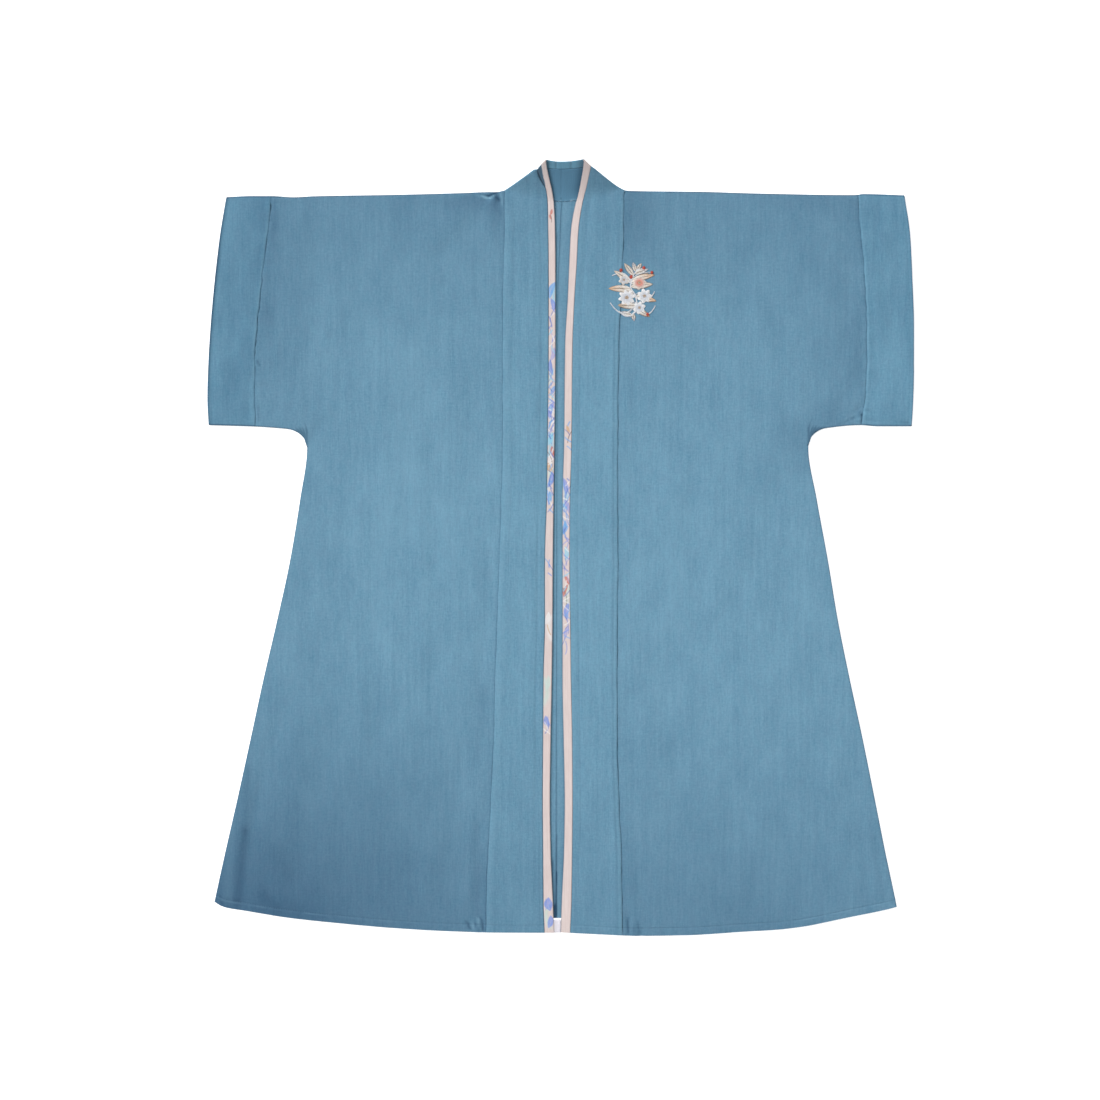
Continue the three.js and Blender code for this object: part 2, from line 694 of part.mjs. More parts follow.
function edging(half) {
  const gap = SEAM_GAP / 2;
  const linePoint = (row, column) => {
    if (row < BODY_ROWS) return collarLinePoint(half, row, column);
    const end = collarLinePoint(half, BODY_ROWS, column);
    if (row === HEM_ROW) return end;
    const above = collarLinePoint(half, BODY_ROWS - 1, column);
    return mix(end, above, HEM_TAIL / (above.y - end.y));
  };
  const frontPoint = (column, row) => {
    const join = linePoint(row, "join");
    const free = linePoint(row, "free");
    if (column === 0) return besideJoin(half, row, join, -1);
    if (column === 1) return free;
    return { x: frontAt(RIGHT, free.y, "free") - SEAM_GAP, y: free.y };
  };
  const backPoint = (column, step) => {
    if (!step) return frontPoint(column, 0);
    const line = collarBackPoint(half, step, column ? "free" : "join");
    const x = step < NECK_COLUMNS ? line.x : COLLAR_BACK.x + half.out * gap;
    return { x, y: column ? line.y : line.y + gap };
  };
  const tail = half === LEFT ? 1 : 0;
  return foldedCloth({
    wall: EDGING_CLOTH,
    front: {
      columns: 1 + tail,
      rows: HEM_ROW,
      has: (column, row) => column === 0 || row === BODY_ROWS,
      plan: frontPoint,
    },
    back: { columns: 1, rows: NECK_COLUMNS, has: () => true, plan: backPoint },
    frontHeight: frontHeightOf(half, EDGING_CLOTH, BODY_CLOTH),
    backHeight: (x, y) => EDGING_CLOTH / 2 + neckRise(x, y),
    edges: [[0, 1].map((column) => ({ upper: [column, 0], lower: [column, 0] }))],
    shared: shoulderOutward(half),
  });
}

// Embroidered spray: plates of different thickness joined into one, laid on the front
function asSolid(geometry) {
  const bare = new THREE.BufferGeometry().setAttribute("position", geometry.getAttribute("position"));
  if (geometry.index) bare.setIndex(geometry.index);
  const merged = mergeVertices(bare, 1e-4);
  const mesh = new wasm.Mesh({
    numProp: 3,
    vertProperties: new Float32Array(merged.attributes.position.array),
    triVerts: new Uint32Array(merged.index.array),
  });
  return new wasm.Manifold(mesh);
}

function plate(shape, thickness, { x = 0, y = 0, turn = 0 }) {
  const options = { depth: thickness, bevelEnabled: false, curveSegments: 4 };
  const geometry = new THREE.ExtrudeGeometry(shape, options);
  geometry.rotateZ(THREE.MathUtils.degToRad(turn));
  geometry.translate(x, y, 0);
  return asSolid(geometry);
}

// A leaf, pointed at both ends
function leafShape(length, width) {
  const shape = new THREE.Shape();
  shape.moveTo(0, 0);
  shape.bezierCurveTo(length * 0.25, -width * 0.7, length * 0.65, -width * 0.6, length, 0);
  shape.bezierCurveTo(length * 0.65, width * 0.6, length * 0.25, width * 0.7, 0, 0);
  return shape;
}

// A petal, narrow at the flower's heart and round at its tip
function petalShape(radius, width) {
  const shape = new THREE.Shape();
  shape.moveTo(0, 0);
  shape.bezierCurveTo(radius * 0.4, -width * 0.75, radius, -width * 0.75, radius, 0);
  shape.bezierCurveTo(radius, width * 0.75, radius * 0.4, width * 0.75, 0, 0);
  return shape;
}

const discShape = (radius) => new THREE.Shape().absarc(0, 0, radius, 0, 2 * Math.PI);

// A smooth line through points of a plan that carry a half width
const stemCurve = (points) =>
  new THREE.CatmullRomCurve3(points.map(({ x, y, half }) => new THREE.Vector3(x, y, half)));
const SPRAY_LINE = stemCurve(SPRAY_STEM);

// A ribbon of changing half width along such a line
function stemShape(points) {
  const curve = stemCurve(points);
  const steps = 3 * (points.length - 1);
  const [left, right] = [[], []];
  for (let i = 0; i <= steps; i++) {
    const at = curve.getPoint(i / steps);
    const along = curve.getTangent(i / steps);
    const across = new THREE.Vector2(-along.y, along.x).setLength(at.z);
    left.push(new THREE.Vector2(at.x + across.x, at.y + across.y));
    right.unshift(new THREE.Vector2(at.x - across.x, at.y - across.y));
  }
  return new THREE.Shape([...left, ...right]);
}

// A bowed twig from the stem to a flower or berry
function twigPlate({ x, y, at }) {
  const { x: fromX, y: fromY } = SPRAY_LINE.getPoint(at);
  const [dx, dy] = [x - fromX, y - fromY];
  const middle = { x: fromX + dx / 2 - dy / 10, y: fromY + dy / 2 + dx / 10, half: 0.5 };
  const twig = stemShape([{ x: fromX, y: fromY, half: 0.6 }, middle, { x, y, half: 0.5 }]);
  return plate(twig, SPRAY.leaf, {});
}

function flowerPlates(flower) {
  const { x, y, radius, petals, turn, heart } = flower;
  const width = (1.2 * radius * Math.PI) / petals;
  const plates = [plate(discShape(heart), SPRAY.heart, { x, y }), twigPlate(flower)];
  for (let i = 0; i < petals; i++) {
    plates.push(plate(petalShape(radius, width), SPRAY.petal, { x, y, turn: turn + (360 * i) / petals }));
  }
  return plates;
}

function leafPlate({ at, length, width, turn }) {
  const { x, y } = SPRAY_LINE.getPoint(at);
  return plate(leafShape(length, width), SPRAY.leaf, { x, y, turn });
}

const berryPlates = (berry) => [
  twigPlate(berry),
  plate(discShape(berry.radius), SPRAY.berry, { x: berry.x, y: berry.y }),
];

function spray() {
  const plates = [
    plate(stemShape(SPRAY_STEM), SPRAY.stem, {}),
    ...SPRAY_LEAVES.map(leafPlate),
    ...SPRAY_FLOWERS.flatMap(flowerPlates),
    ...SPRAY_BERRIES.flatMap(berryPlates),
  ];
  const mesh = wasm.Manifold.union(plates).asOriginal().simplify(SPRAY.smallest).getMesh();
  const geometry = new THREE.BufferGeometry();
  geometry.setAttribute("position", new THREE.BufferAttribute(mesh.vertProperties, 3));
  geometry.setIndex(new THREE.BufferAttribute(mesh.triVerts, 1));
  const position = geometry.getAttribute("position");
  const onBand = BODY_CLOTH + LAYER_GAP + BAND_CLOTH + LAYER_GAP;
  for (let i = 0; i < position.count; i++) {
    const [x, y] = [position.getX(i) + SPRAY.x, position.getY(i) + SPRAY.y];
    position.setXYZ(i, x, y, position.getZ(i) + onBand + frontLift(RIGHT, x, y));
  }
  geometry.computeVertexNormals();
  return geometry;
}

const group = new THREE.Group();
const colours = { body: 0x719cb5, cuff: 0x6594aa, collar: 0x709cb5, edging: 0xddceca, spray: 0xe6dccd };

function add(name, geometry, color, roughness) {
  const material = new THREE.MeshStandardMaterial({ color, roughness, metalness: 0 });
  const mesh = new THREE.Mesh(geometry, material);
  mesh.name = name;
  group.add(mesh);
}

for (const half of [LEFT, RIGHT]) {
  add(`body_${half.name}`, body(half), colours.body, 0.8);
  add(`cuff_${half.name}`, cuff(half), colours.cuff, 0.8);
  add(`collar_${half.name}`, collar(half), colours.collar, 0.75);
  add(`edging_${half.name}`, edging(half), colours.edging, 0.7);
}
add("flower_spray", spray(), colours.spray, 0.6);

export default group;
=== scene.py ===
"""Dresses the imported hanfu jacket: cloth with seams, hems and soft creases, printed edging,
an embroidered spray, and the stage it lies on. Plans and tables are in millimetres, meshes in metres."""

import math

import bmesh
import bpy
import numpy as np
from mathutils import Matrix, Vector


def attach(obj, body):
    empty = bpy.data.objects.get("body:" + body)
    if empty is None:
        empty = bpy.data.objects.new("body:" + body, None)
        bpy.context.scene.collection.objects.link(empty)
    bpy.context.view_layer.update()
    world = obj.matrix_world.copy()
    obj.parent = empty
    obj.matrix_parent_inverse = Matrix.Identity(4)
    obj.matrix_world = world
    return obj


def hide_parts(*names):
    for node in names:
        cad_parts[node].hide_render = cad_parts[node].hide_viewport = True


bl_info = {
    "name": "Hanfu jacket",
    "version": (1, 0, 0),
    "blender": (4, 5, 0),
    "location": "View3D > Sidebar > Hanfu",
    "description": "Straight-fronted hanfu jacket with half sleeves, laid flat",
    "category": "Object",
}

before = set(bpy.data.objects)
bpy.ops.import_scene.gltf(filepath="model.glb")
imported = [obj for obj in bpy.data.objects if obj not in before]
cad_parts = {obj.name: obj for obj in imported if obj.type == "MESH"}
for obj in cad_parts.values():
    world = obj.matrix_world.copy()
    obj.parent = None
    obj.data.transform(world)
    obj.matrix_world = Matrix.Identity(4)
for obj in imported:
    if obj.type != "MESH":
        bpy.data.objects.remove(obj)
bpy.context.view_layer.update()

WHITE = (1.0, 1.0, 1.0, 1.0)
MM = 0.001
BODY_WALL = 1.2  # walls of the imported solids
CUFF_WALL = 1.5
BAND_WALL = 2.0
EDGING_WALL = 2.2
LAYER_GAP = 0.3
SEAM_GAP = 0.01
AIR, AIR_REACH, HEM_AIR = 1.7, 32, 0.3
NECK_AIR, NECK_AIR_REACH = 2.0, 45
NECK_RISE, NECK_TOP, NECK_LEAN = 27, 520, 1.4
NECK_SEAM_X, NECK_SEAM_Y, NECK_SEAM_HALF, NECK_SEAM_DIP = 3, 470, 79, 15.5
COLLAR_BACK_X = 1.2
COLLAR_BACK_Y = {"join": 511, "free": 520.3}
TILT_START = 330
BACK_HEM_Y = -503
HEM_TURN = 10.5  # height of the turned hem
HEM_MIDDLE = 5  # height at which its gathers are deepest
CUFF_LOW = 100  # no sleeve reaches below this
FOLD_INSET = 1.0  # how far a layer's last cross line stays inside a folded edge
FOLD_RADIUS = (0.1, 1.1)
SIDE_TURN, SHOULDER_TURN = (60, 25, -25, -60), (60, 20, -20, -60)  # angles of the cross lines round a fold
EDGE_STEPS = (2.6, 5, 8.5)  # distances of the first cross lines from a folded edge
TOP_STEPS = (1.2, 2.6, 4, 5.5, 7, 8.5, 10.5)
SEAM_STEPS = (0.6, 1.3, 2.2, 3.6, 5.6, 8.5, 12)
HEM_STEPS = (0.4, 1.0, 2.0, 4, 7, 9.3, 10.1, 10.5, 10.9, 11.7, 13.5, 16.5)
# How dark the lines look along seams and turned edges
COLLAR_SEAM_SHADE, CUFF_SEAM_SHADE, JOIN_SHADE, BACK_SEAM_SHADE, HEM_SHADE = 0.45, 0.3, 0.3, 0.36, 0.1
LINE_WIDTH = 0.9


# Lines and noise ---------------------------------------------------------------------------------


def smooth_line(xs, ys):
    """A smooth line through points that adds no bumps, and runs straight beyond its ends."""
    order = np.argsort(xs)
    xs, ys = np.asarray(xs, float)[order], np.asarray(ys, float)[order]
    steps = np.diff(xs)
    rises = np.diff(ys) / steps
    slopes = np.concatenate([rises[:1], np.zeros(len(xs) - 2), rises[-1:]])
    product = rises[:-1] * rises[1:]
    total = np.where(product > 0, rises[:-1] + rises[1:], 1)
    slopes[1:-1] = np.where(product > 0, 2 * product / total, 0)

    def at(x):
        x = np.asarray(x, float)
        i = np.clip(np.searchsorted(xs, x) - 1, 0, len(steps) - 1)
        share = np.clip((x - xs[i]) / steps[i], 0, 1)
        ease = share * share * (3 - 2 * share)
        bend = share * (1 - share)
        inside = ys[i] + (ys[i + 1] - ys[i]) * ease
        inside = inside + steps[i] * bend * (slopes[i] * (1 - share) - slopes[i + 1] * share)
        return inside + slopes[0] * np.minimum(x - xs[0], 0) + slopes[-1] * np.maximum(x - xs[-1], 0)

    return at


def wavering(line, reach, size, seed):
    """A line that wanders a little to both sides, as a hand-guided seam does."""
    return lambda y: line(y) + reach * unevenness(y, 0 * y, size, 50, seed)


def lerp(a, b, share):
    return a + (b - a) * share


def smoothstep(value, low, high):
    share = np.clip((value - low) / (high - low), 0, 1)
    return share * share * (3 - 2 * share)


def bell(distance, half):
    return np.exp(-((distance / half) ** 2))


def to_segment(x, y, a, b):
    """Distance from points of the plan to a segment."""
    dx, dy = b[0] - a[0], b[1] - a[1]
    share = np.clip(((x - a[0]) * dx + (y - a[1]) * dy) / (dx * dx + dy * dy), 0, 1)
    return np.hypot(x - a[0] - share * dx, y - a[1] - share * dy)


def to_path(x, y, path):
    return np.min([to_segment(x, y, a, b) for a, b in zip(path, path[1:])], axis=0)


def unevenness(x, y, size_x, size_y, seed):
    """Soft random values from -1 to 1 over the plan, about one size apart."""
    table = np.random.default_rng(seed).uniform(-1, 1, (61, 61))
    u, v = np.asarray(x, float) / size_x + 1000, np.asarray(y, float) / size_y + 1000
    i, j = np.floor(u).astype(int), np.floor(v).astype(int)
    s, t = smoothstep(u - i, 0, 1), smoothstep(v - j, 0, 1)
    near = lerp(table[i % 61, j % 61], table[(i + 1) % 61, j % 61], s)
    far = lerp(table[i % 61, (j + 1) % 61], table[(i + 1) % 61, (j + 1) % 61], s)
    return lerp(near, far, t)


def stations(length, step, start=(), end=()):
    """Shares of a length: at given distances from its ends, and evenly spaced between."""
    first = [0, *start]
    last = [length - d for d in (*reversed(end), 0)]
    count = max(1, round((last[0] - first[-1]) / step))
    middle = np.linspace(first[-1], last[0], count + 1)[1:-1]
    return np.concatenate([first, middle, last]) / length


# The jacket's plan -------------------------------------------------------------------------------


# How far the finished edging's join and free edge lie from their cut lines
EDGING_EASE = {"left": (2.2, -0.8), "right": (-0.4, 1.6)}


def eased_line(ys, xs, ease):
    line = smooth_line(ys, xs)
    return lambda y: line(y) + ease * (1 - 0.7 * smoothstep(y, 470, NECK_TOP))


class Half:
    """One half of the jacket, with its edges in plan."""

    def __init__(self, name, out, front, sleeve, top, under, hem, armpit, sag, join, free):
        y, side, seam, join_x, free_x = np.array(front, float).T
        self.name, self.out = name, out
        self.side, self.seam = smooth_line(y, side), wavering(smooth_line(y, seam), 0.4, 17, 5 + out)
        self.line = {
            "join": eased_line(y, join_x, EDGING_EASE[name][0]),
            "free": eased_line(y, free_x, EDGING_EASE[name][1]),
        }
        y, end, cuff_seam = np.array(sleeve, float).T
        self.end, self.cuff_seam = smooth_line(y, end), wavering(smooth_line(y, cuff_seam), 0.7, 12, 7 + out)
        self.sleeve_low, self.sleeve_high = y[0], y[-1]
        self.top = smooth_line(*np.array(top, float).T)
        self.under = smooth_line(*np.array(under, float).T)
        self.hem = smooth_line(*np.array(hem, float).T)
        self.corner = hem[0] if out < 0 else hem[-1]
        self.armpit_x, self.armpit_run, self.armpit_drop = armpit
        self.sag = sag
        self.peak = {"join": join, "free": free}
        x = float(self.seam(485))
        self.shoulder = (x, float(self.top(x)))
        self.armpit_y = float(self.under_arm(self.armpit_x))
        self.collar_peak = (float(self.line["free"](free)), free)
        last = float(self.end(self.sleeve_high))
        self.closed = [
            [(last, float(self.top(last))), self.shoulder],
            [
                (float(self.end(self.sleeve_low)), self.sleeve_low),
                (self.armpit_x, self.armpit_y),
                (float(self.side(-480)), -480),
            ],
        ]

    def crisp(self, y):
        """How sharp the collar seam looks."""
        if self.out < 0:
            return lerp(0.42, 0.28, smoothstep(y, -430, -340))
        return lerp(0.7, 0.38, smoothstep(y, 270, 350))

    def under_arm(self, x):
        share = np.clip(1 - np.abs(x - self.armpit_x) / self.armpit_run, 0, 1)
        return self.under(x) - self.armpit_drop * (1 - np.sqrt(1 - share * share))

    def back_hem(self, x):
        return BACK_HEM_Y + (self.corner[1] - BACK_HEM_Y) * (x / self.corner[0]) ** 2

    def way_down(self, row, top, hem):
        """Row 0 is the shoulder, 1 the armpit's level, and 2 the hem."""
        low = lerp(self.armpit_y, hem, np.maximum(row - 1, 0))
        return np.where(row <= 1, lerp(top, self.armpit_y, np.minimum(row, 1)), low)


# Columns of front: y, side, collar seam, edging's join, free edge; of sleeve: y, end, cuff seam
LEFT = Half(
    "left",
    -1,
    front=[
        (-521, -478, -101, -24, -8),
        (-480, -469.5, -100.5, -25.5, -9.5),
        (-411, -454.5, -98, -26, -12.5),
        (-343, -439, -94.5, -26.5, -13.5),
        (-261, -421, -90.5, -26, -12.5),
        (-180, -403.5, -88.5, -25.5, -11),
        (-98, -384.5, -86, -23.5, -10),
        (-17, -367, -83, -23.5, -9.5),
        (65, -353.5, -80.5, -21, -8.5),
        (136, -344, -78.5, -20, -7.5),
        (275, -344, -78.5, -18.5, -6),
        (383, -344, -77.5, -18.5, -6),
        (431, -344, -76, -19, -6.5),
        (465, -344, -76, -19.5, -8),
        (485, -344, -75.5, -21.5, -11),
        (494, -344, -75.5, -26, -13.5),
        (503, -344, -75.5, -30, -15.8),
        (512, -344, -75.5, -32.2, -18),
        (523, -344, -75.5, -33, -19.8),
    ],
    sleeve=[
        (164, -477.5, -413.9),
        (200, -479, -414.6),
        (241, -478, -414.8),
        (302, -474.5, -411.4),
        (363, -469, -405),
        (424, -462, -397.2),
        (450, -458, -394.8),
        (477, -453.5, -392),
    ],
    top=[
        (-455, 475.6),
        (-420, 477.2),
        (-392, 477.2),
        (-362, 475.6),
        (-333, 477),
        (-218, 479),
        (-136, 481.2),
        (-98, 482.5),
        (-86, 482.6),
        (-75, 485),
    ],
    under=[(-478, 166), (-413, 164), (-344, 158.5)],
    hem=[
        (-470, -481),
        (-456.5, -488),
        (-424, -493.5),
        (-370, -502.3),
        (-292, -510.6),
        (-231, -516),
        (-150, -520.6),
        (-55, -523.1),
        (-8, -522.6),
    ],
    armpit=(-344, 28, 23),
    sag=(0.5, 0),
    join=513.5,
    free=523,
)
RIGHT = Half(
    "right",
    1,
    front=[
        (-527, 464, 84.5, 13.5, -1.5),
        (-480, 455, 84, 15.5, 0),
        (-411, 440.5, 82.5, 16.5, 3),
        (-343, 427, 79.5, 17, 4),
        (-261, 410.5, 77, 16.5, 2.5),
        (-180, 393, 77, 15, 1),
        (-98, 376.5, 77.5, 14, 1),
        (-17, 363, 78, 13, 1),
        (65, 348, 78, 13.5, 1),
        (136, 336.5, 78, 15.5, 3),
        (275, 336.5, 79.5, 17, 4.5),
        (336, 336.5, 81.5, 19.5, 8),
        (383, 336.5, 84, 22.5, 10),
        (431, 336.5, 85.5, 25, 12.5),
        (465, 336.5, 85.5, 30, 18.3),
        (478, 336.5, 85.5, 33, 22.2),
        (487, 336.5, 88, 35.5, 24.4),
        (503, 336.5, 88, 39, 28),
        (512, 336.5, 88, 41, 29.8),
        (523.5, 336.5, 88, 42.5, 31),
    ],
    sleeve=[
        (164, 476.5, 408.2),
        (200, 478.5, 412.8),
        (241, 479.5, 415.4),
        (302, 479.5, 415),
        (363, 477.5, 412.5),
        (424, 474.5, 407.4),
        (477, 467, 403),
    ],
    top=[
        (83, 485.5),
        (95, 484),
        (189, 483),
        (271, 480.6),
        (396, 478.6),
        (404, 479),
        (410, 480),
        (468, 478.2),
    ],
    under=[(336, 159), (407, 166), (430, 164.5), (478, 164.5)],
    hem=[
        (-2, -522.2),
        (26, -523.5),
        (108, -526.9),
        (169, -526.1),
        (250, -521.2),
        (291, -518.8),
        (325, -515),
        (390, -502),
        (444, -491),
        (457, -487.5),
    ],
    armpit=(336.5, 25, 21),
    sag=(0.2, 1.7),
    join=515,
    free=523.5,
)
HALVES = (LEFT, RIGHT)
centre_back = smooth_line((-503, 10, 200, 345, 379, 413, 447, 470), (-6, -5, -4.4, -3.6, -2.4, -0.8, 0.4, 2))


def neck_seam(x):
    share = np.minimum(1, np.abs(x - NECK_SEAM_X) / NECK_SEAM_HALF)
    wave = 0.7 * unevenness(x, 0 * share, 8, 50, 21) * (1 - share * share)
    return NECK_SEAM_Y + NECK_SEAM_DIP * share * share + wave


# Soft creases: x1, y1, x2, y2, half width, height (a trough is below nought)
CREASE_HEIGHT = 1.5
CREASES = [
    (-389, -250, -437, -484, 13, -1.1),
    (394, -300, 424, -488, 13, -0.8),
    (-230, 190, -205, -110, 60, 0.9),
    (215, 150, 240, -160, 60, 0.6),
    (-110, 476, -160, 430, 26, 0.9),
    (-404, -310, -449, -486, 5, -0.5),
    (-176, 150, -170, -20, 10, -0.45),
    (-196, 60, -186, -160, 9, 0.4),
    (-240, 20, -252, -260, 16, -0.45),
    (-150, -20, -146, -190, 12, 0.4),
    (-130, -280, -140, -440, 15, -0.4),
    (-300, -120, -322, -330, 20, -0.4),
    (-352, -220, -380, -470, 14, 0.45),
    (-260, 300, -180, 215, 22, -0.45),
    (-330, 260, -300, 330, 16, 0.4),
    (-380, 300, -340, 250, 11, -0.45),
    (-104, -110, -112, -215, 9, -0.6),
    (-110, -380, -113, -500, 8, -0.6),
    (-118, 440, -170, 395, 12, -0.6),
    (-101, 470, -90, 483, 3.2, -1.3),
    (-87, 484, -85, 468, 2.6, -1.5),
    (-150, 468, -215, 452, 12, -0.5),
    (112, 470, 185, 432, 16, -0.6),
    (150, 474, 250, 462, 10, 0.4),
    (336, 152, 300, 200, 9, -0.7),
    (350, 158, 335, 215, 6, -0.55),
    (372, 170, 384, 205, 5, -0.6),
    (392, 176, 410, 192, 4, -0.7),
    (398, 172, 396, 220, 4, 0.4),
    (385, 270, 395, 390, 9, -0.5),
    (300, 90, 260, -40, 14, -0.35),
    (180, 60, 190, -150, 14, -0.35),
    (130, -160, 165, -330, 18, -0.35),
    (250, -180, 275, -380, 20, 0.4),
    (330, -170, 352, -400, 16, -0.4),
    (100, -400, 118, -505, 9, -0.4),
    (-344, 150, -300, 178, 8, -0.5),
    (-360, 165, -352, 210, 6, 0.35),
]
# Small creases at seams and folded edges
EDGE_CREASES = [
    (-102, 471, -90, 483, 1.8, -1.3),
    (-87, 482, -80, 462, 3.2, -1.1),
    (-96, 466, -89, 474, 2.6, 0.8),
    (-112, 474, -130, 478, 2.6, 0.6),
    (-395, 470, -408, 474, 5, -0.7),
    (-385, 476, -368, 470, 6, 0.6),
    (398, 168, 404, 190, 2.2, -1.0),
    (410, 170, 428, 178, 2.0, -0.9),
    (394, 182, 410, 168, 1.8, 0.7),
    (414, 171, 474, 169, 1.4, -0.5),
    (90, -498, 94, -524, 2.4, -1.0),
    (99, -508, 102, -525, 2.0, 0.8),
    (106, -510, 109, -526, 1.8, -0.8),
    (-107, -500, -104, -520, 2.2, -0.9),
    (-114, -503, -111, -520, 2.0, 0.7),
    (-126, -508, -122, -518, 2.4, -0.8),
    (88, 474, 96, 484, 2.0, 0.7),
    (124, 478, 131, 484, 2.2, -0.7),
    (-340, 140, -322, 172, 3, -0.6),
    (348, 140, 326, 170, 3, -0.6),
    (-430, 168, -424, 186, 2.2, -0.6),
]
# Deep shade inside small folds: x1, y1, x2, y2, half width, depth
SHADED_FOLDS = [
    (-109, 479, -98, 477.6, 1.0, 0.4),
    (-97, 476.8, -87, 482, 1.7, 1.0),
    (-87.5, 476, -83.5, 472, 3.2, 0.8),
    (-88, 468, -80, 452, 5, 0.12),
    (-132, 474, -118, 478, 4, 0.12),
    (91, 483, 109, 483, 1.0, 0.5),
    (146, 482, 152, 482, 1.0, 0.45),
    (-412, 254, -409.5, 249, 1.4, 0.5),
    (-410, 192, -409.5, 172, 1.3, 0.3),
    (409, 181, 393, 174.5, 1.2, 0.4),
    (393, 174.5, 379, 168, 1.1, 0.25),
    (409, 181, 408, 169, 1.3, 0.45),
    (404, 187, 409, 181, 1.5, 0.4),
    (413, 186.5, 427, 187.4, 0.9, 0.2),
    (415, 173, 472, 169.5, 0.9, 0.32),
    (-424, -300, -428.5, -385, 4.5, 0.16),
    (-428.5, -385, -438, -478, 6.0, 0.36),
    (-452, -477, -452, -488, 3.4, 0.32),
    (-440, -480, -440, -491, 4.0, 0.3),
    (-461, -473, -460, -483, 1.6, 0.35),
    (-430, -485, -431, -492, 1.6, 0.15),
    (-384, -412, -372, -440, 13, 0.12),
    (-402, -472, -386, -488, 7, 0.2),
    (-372, -482, -358, -492, 8, 0.10),
    (-104, -190, -107, -255, 5, 0.10),
    (-105, -410, -110, -470, 5, 0.10),
    (424, -390, 436, -476, 4.5, 0.12),
    (90, -504, 93, -523, 1.5, 0.6),
    (98, -515, 101, -525, 1.2, 0.3),
    (106, -511, 108, -524, 1.4, 0.55),
    (-107, -503, -105, -519, 1.6, 0.65),
    (-116, -510, -113, -519, 1.4, 0.4),
    (-127, -508, -123, -517, 1.8, 0.6),
    (-5.2, -392, -5.6, -456, 0.9, 0.45),
    (-5.4, -440, -5.8, -500, 0.9, 0.8),
    (-10.6, -425, -7.8, -490, 1.6, 0.5),
    (-7.4, -488, -7.2, -503, 2.4, 0.95),
]
# Painted highlights on ridges beside small folds: x1, y1, x2, y2, half width, strength
PAINTED_RIDGE_HIGHLIGHTS = [
    (-108, 477.4, -101, 474.4, 1.3, 0.5),
    (-101, 474.4, -95, 474.2, 1.3, 0.6),
    (-95, 474.2, -89.5, 477.8, 1.0, 0.5),
    (-80.5, 479, -79, 466, 1.6, 0.3),
    (-448, -340, -452, -478, 7, 0.10),
    (398, 181, 388, 176, 1.0, 0.25),
    (412, 184, 426, 184.5, 1.0, 0.2),
    (96, -506, 97, -523, 1.3, 0.35),
    (-111, -505, -109.5, -519, 1.2, 0.35),
    (-120, -508, -118, -518, 1.3, 0.3),
    (-75, 440, -74.5, -330, 3.6, 0.05),
    (-203, 262, -210, 20, 20, 0.12),
    (-150, 160, -158, -40, 12, 0.10),
    (-238, 120, -246, -120, 12, 0.08),
]
# Places painted darker as shade, towards the lower corners, along the shoulders and beside creases and seams:
# x, y, reach across, reach along, depth
PAINTED_SHADE_SPOTS = [
    (-460, -545, 400, 270, 0.60),
    (300, -600, 350, 270, 0.32),
    (0, 540, 900, 240, 0.25),
    (-389, 440, 7, 34, 0.15),
    (-399, 318, 9, 24, 0.13),
    (-88, 455, 9, 26, 0.12),
    (404, 446, 7, 26, 0.10),
    (403, 270, 8, 60, 0.08),
    (-380, 60, 80, 260, 0.10),
    (-400, 330, 75, 170, 0.13),
    (345, 145, 60, 55, 0.18),
    (410, 330, 80, 170, 0.08),
    (385, 220, 35, 120, 0.10),
    (-104, -200, 12, 60, 0.10),
    (-106, -20, 10, 40, 0.08),
    (-112, -450, 11, 60, 0.08),
    (-130, -290, 40, 60, 0.05),
    (-118, 468, 50, 13, 0.14),
    (102, 442, 26, 52, 0.13),
    (350, 475, 90, 26, 0.06),
]


def along_lines(table, x, y, total=0, scale=1):
    """What a table's lines add at points of the plan: each line fades to both sides."""
    for x1, y1, x2, y2, half, strength in table:
        total = total + scale * strength * bell(to_segment(x, y, (x1, y1), (x2, y2)), half)
    return total


def crease_height(x, y):
    uneven = 0.6 * unevenness(x, y, 30, 64, 3) + 0.3 * unevenness(x, y, 11, 24, 4)
    return along_lines(CREASES, x, y, uneven, CREASE_HEIGHT)


# Painted shade from the table above, with a little random tone
def dye_depth(x, y):
    depth = 0.03 * unevenness(x, y, 120, 160, 9)
    for cx, cy, across, along, deep in PAINTED_SHADE_SPOTS:
        depth = depth + deep * np.exp(-(((x - cx) / across) ** 2) - ((y - cy) / along) ** 2)
    return depth


def neck_rise(x, y):
    seam = neck_seam(x)
    share = np.maximum(0, (y - seam) / (NECK_TOP - seam))
    return NECK_RISE * share**NECK_LEAN


def front_lift(half, x, y, creased=1.0):
    """How far the front layer stands off the back."""
    away = np.min([to_path(x, y, path) for path in half.closed], axis=0)
    settled = (1 - HEM_AIR) * np.exp(-np.maximum(0, y - half.hem(x)) / AIR_REACH)
    loose = (1 - np.exp(-away / AIR_REACH)) * (1 - settled)
    neck = NECK_AIR * bell(to_segment(x, y, half.shoulder, half.collar_peak), NECK_AIR_REACH)
    near_edge = along_lines(EDGE_CREASES, x, y) * (1 - np.exp(-away / 3)) * min(creased, 1)
    resting = 1 - 0.6 * bell(x - half.line["free"](y), 17) * (1 - smoothstep(y, 420, 480))
    return (AIR + creased * crease_height(x, y)) * loose * resting + near_edge + neck + neck_rise(x, y)


def groove(distance, width=1.8, depth=0.45):
    return -depth * bell(distance, width)


def seam_line(distance, along, strength, seed):
    """How dark a seam looks: a fine line that comes and goes."""
    broken = 0.6 + 0.35 * unevenness(along, 0 * along, 11, 50, seed)
    broken = broken + 0.4 * unevenness(along, 0 * along, 43, 50, seed + 2)
    return strength * np.clip(broken, 0.05, 1.2) * bell(distance, LINE_WIDTH)


# Painted shade along a folded edge, where the cloth turns under.
def rolled_edge(distance, strength=0.5):
    return strength * bell(distance, 1.1)


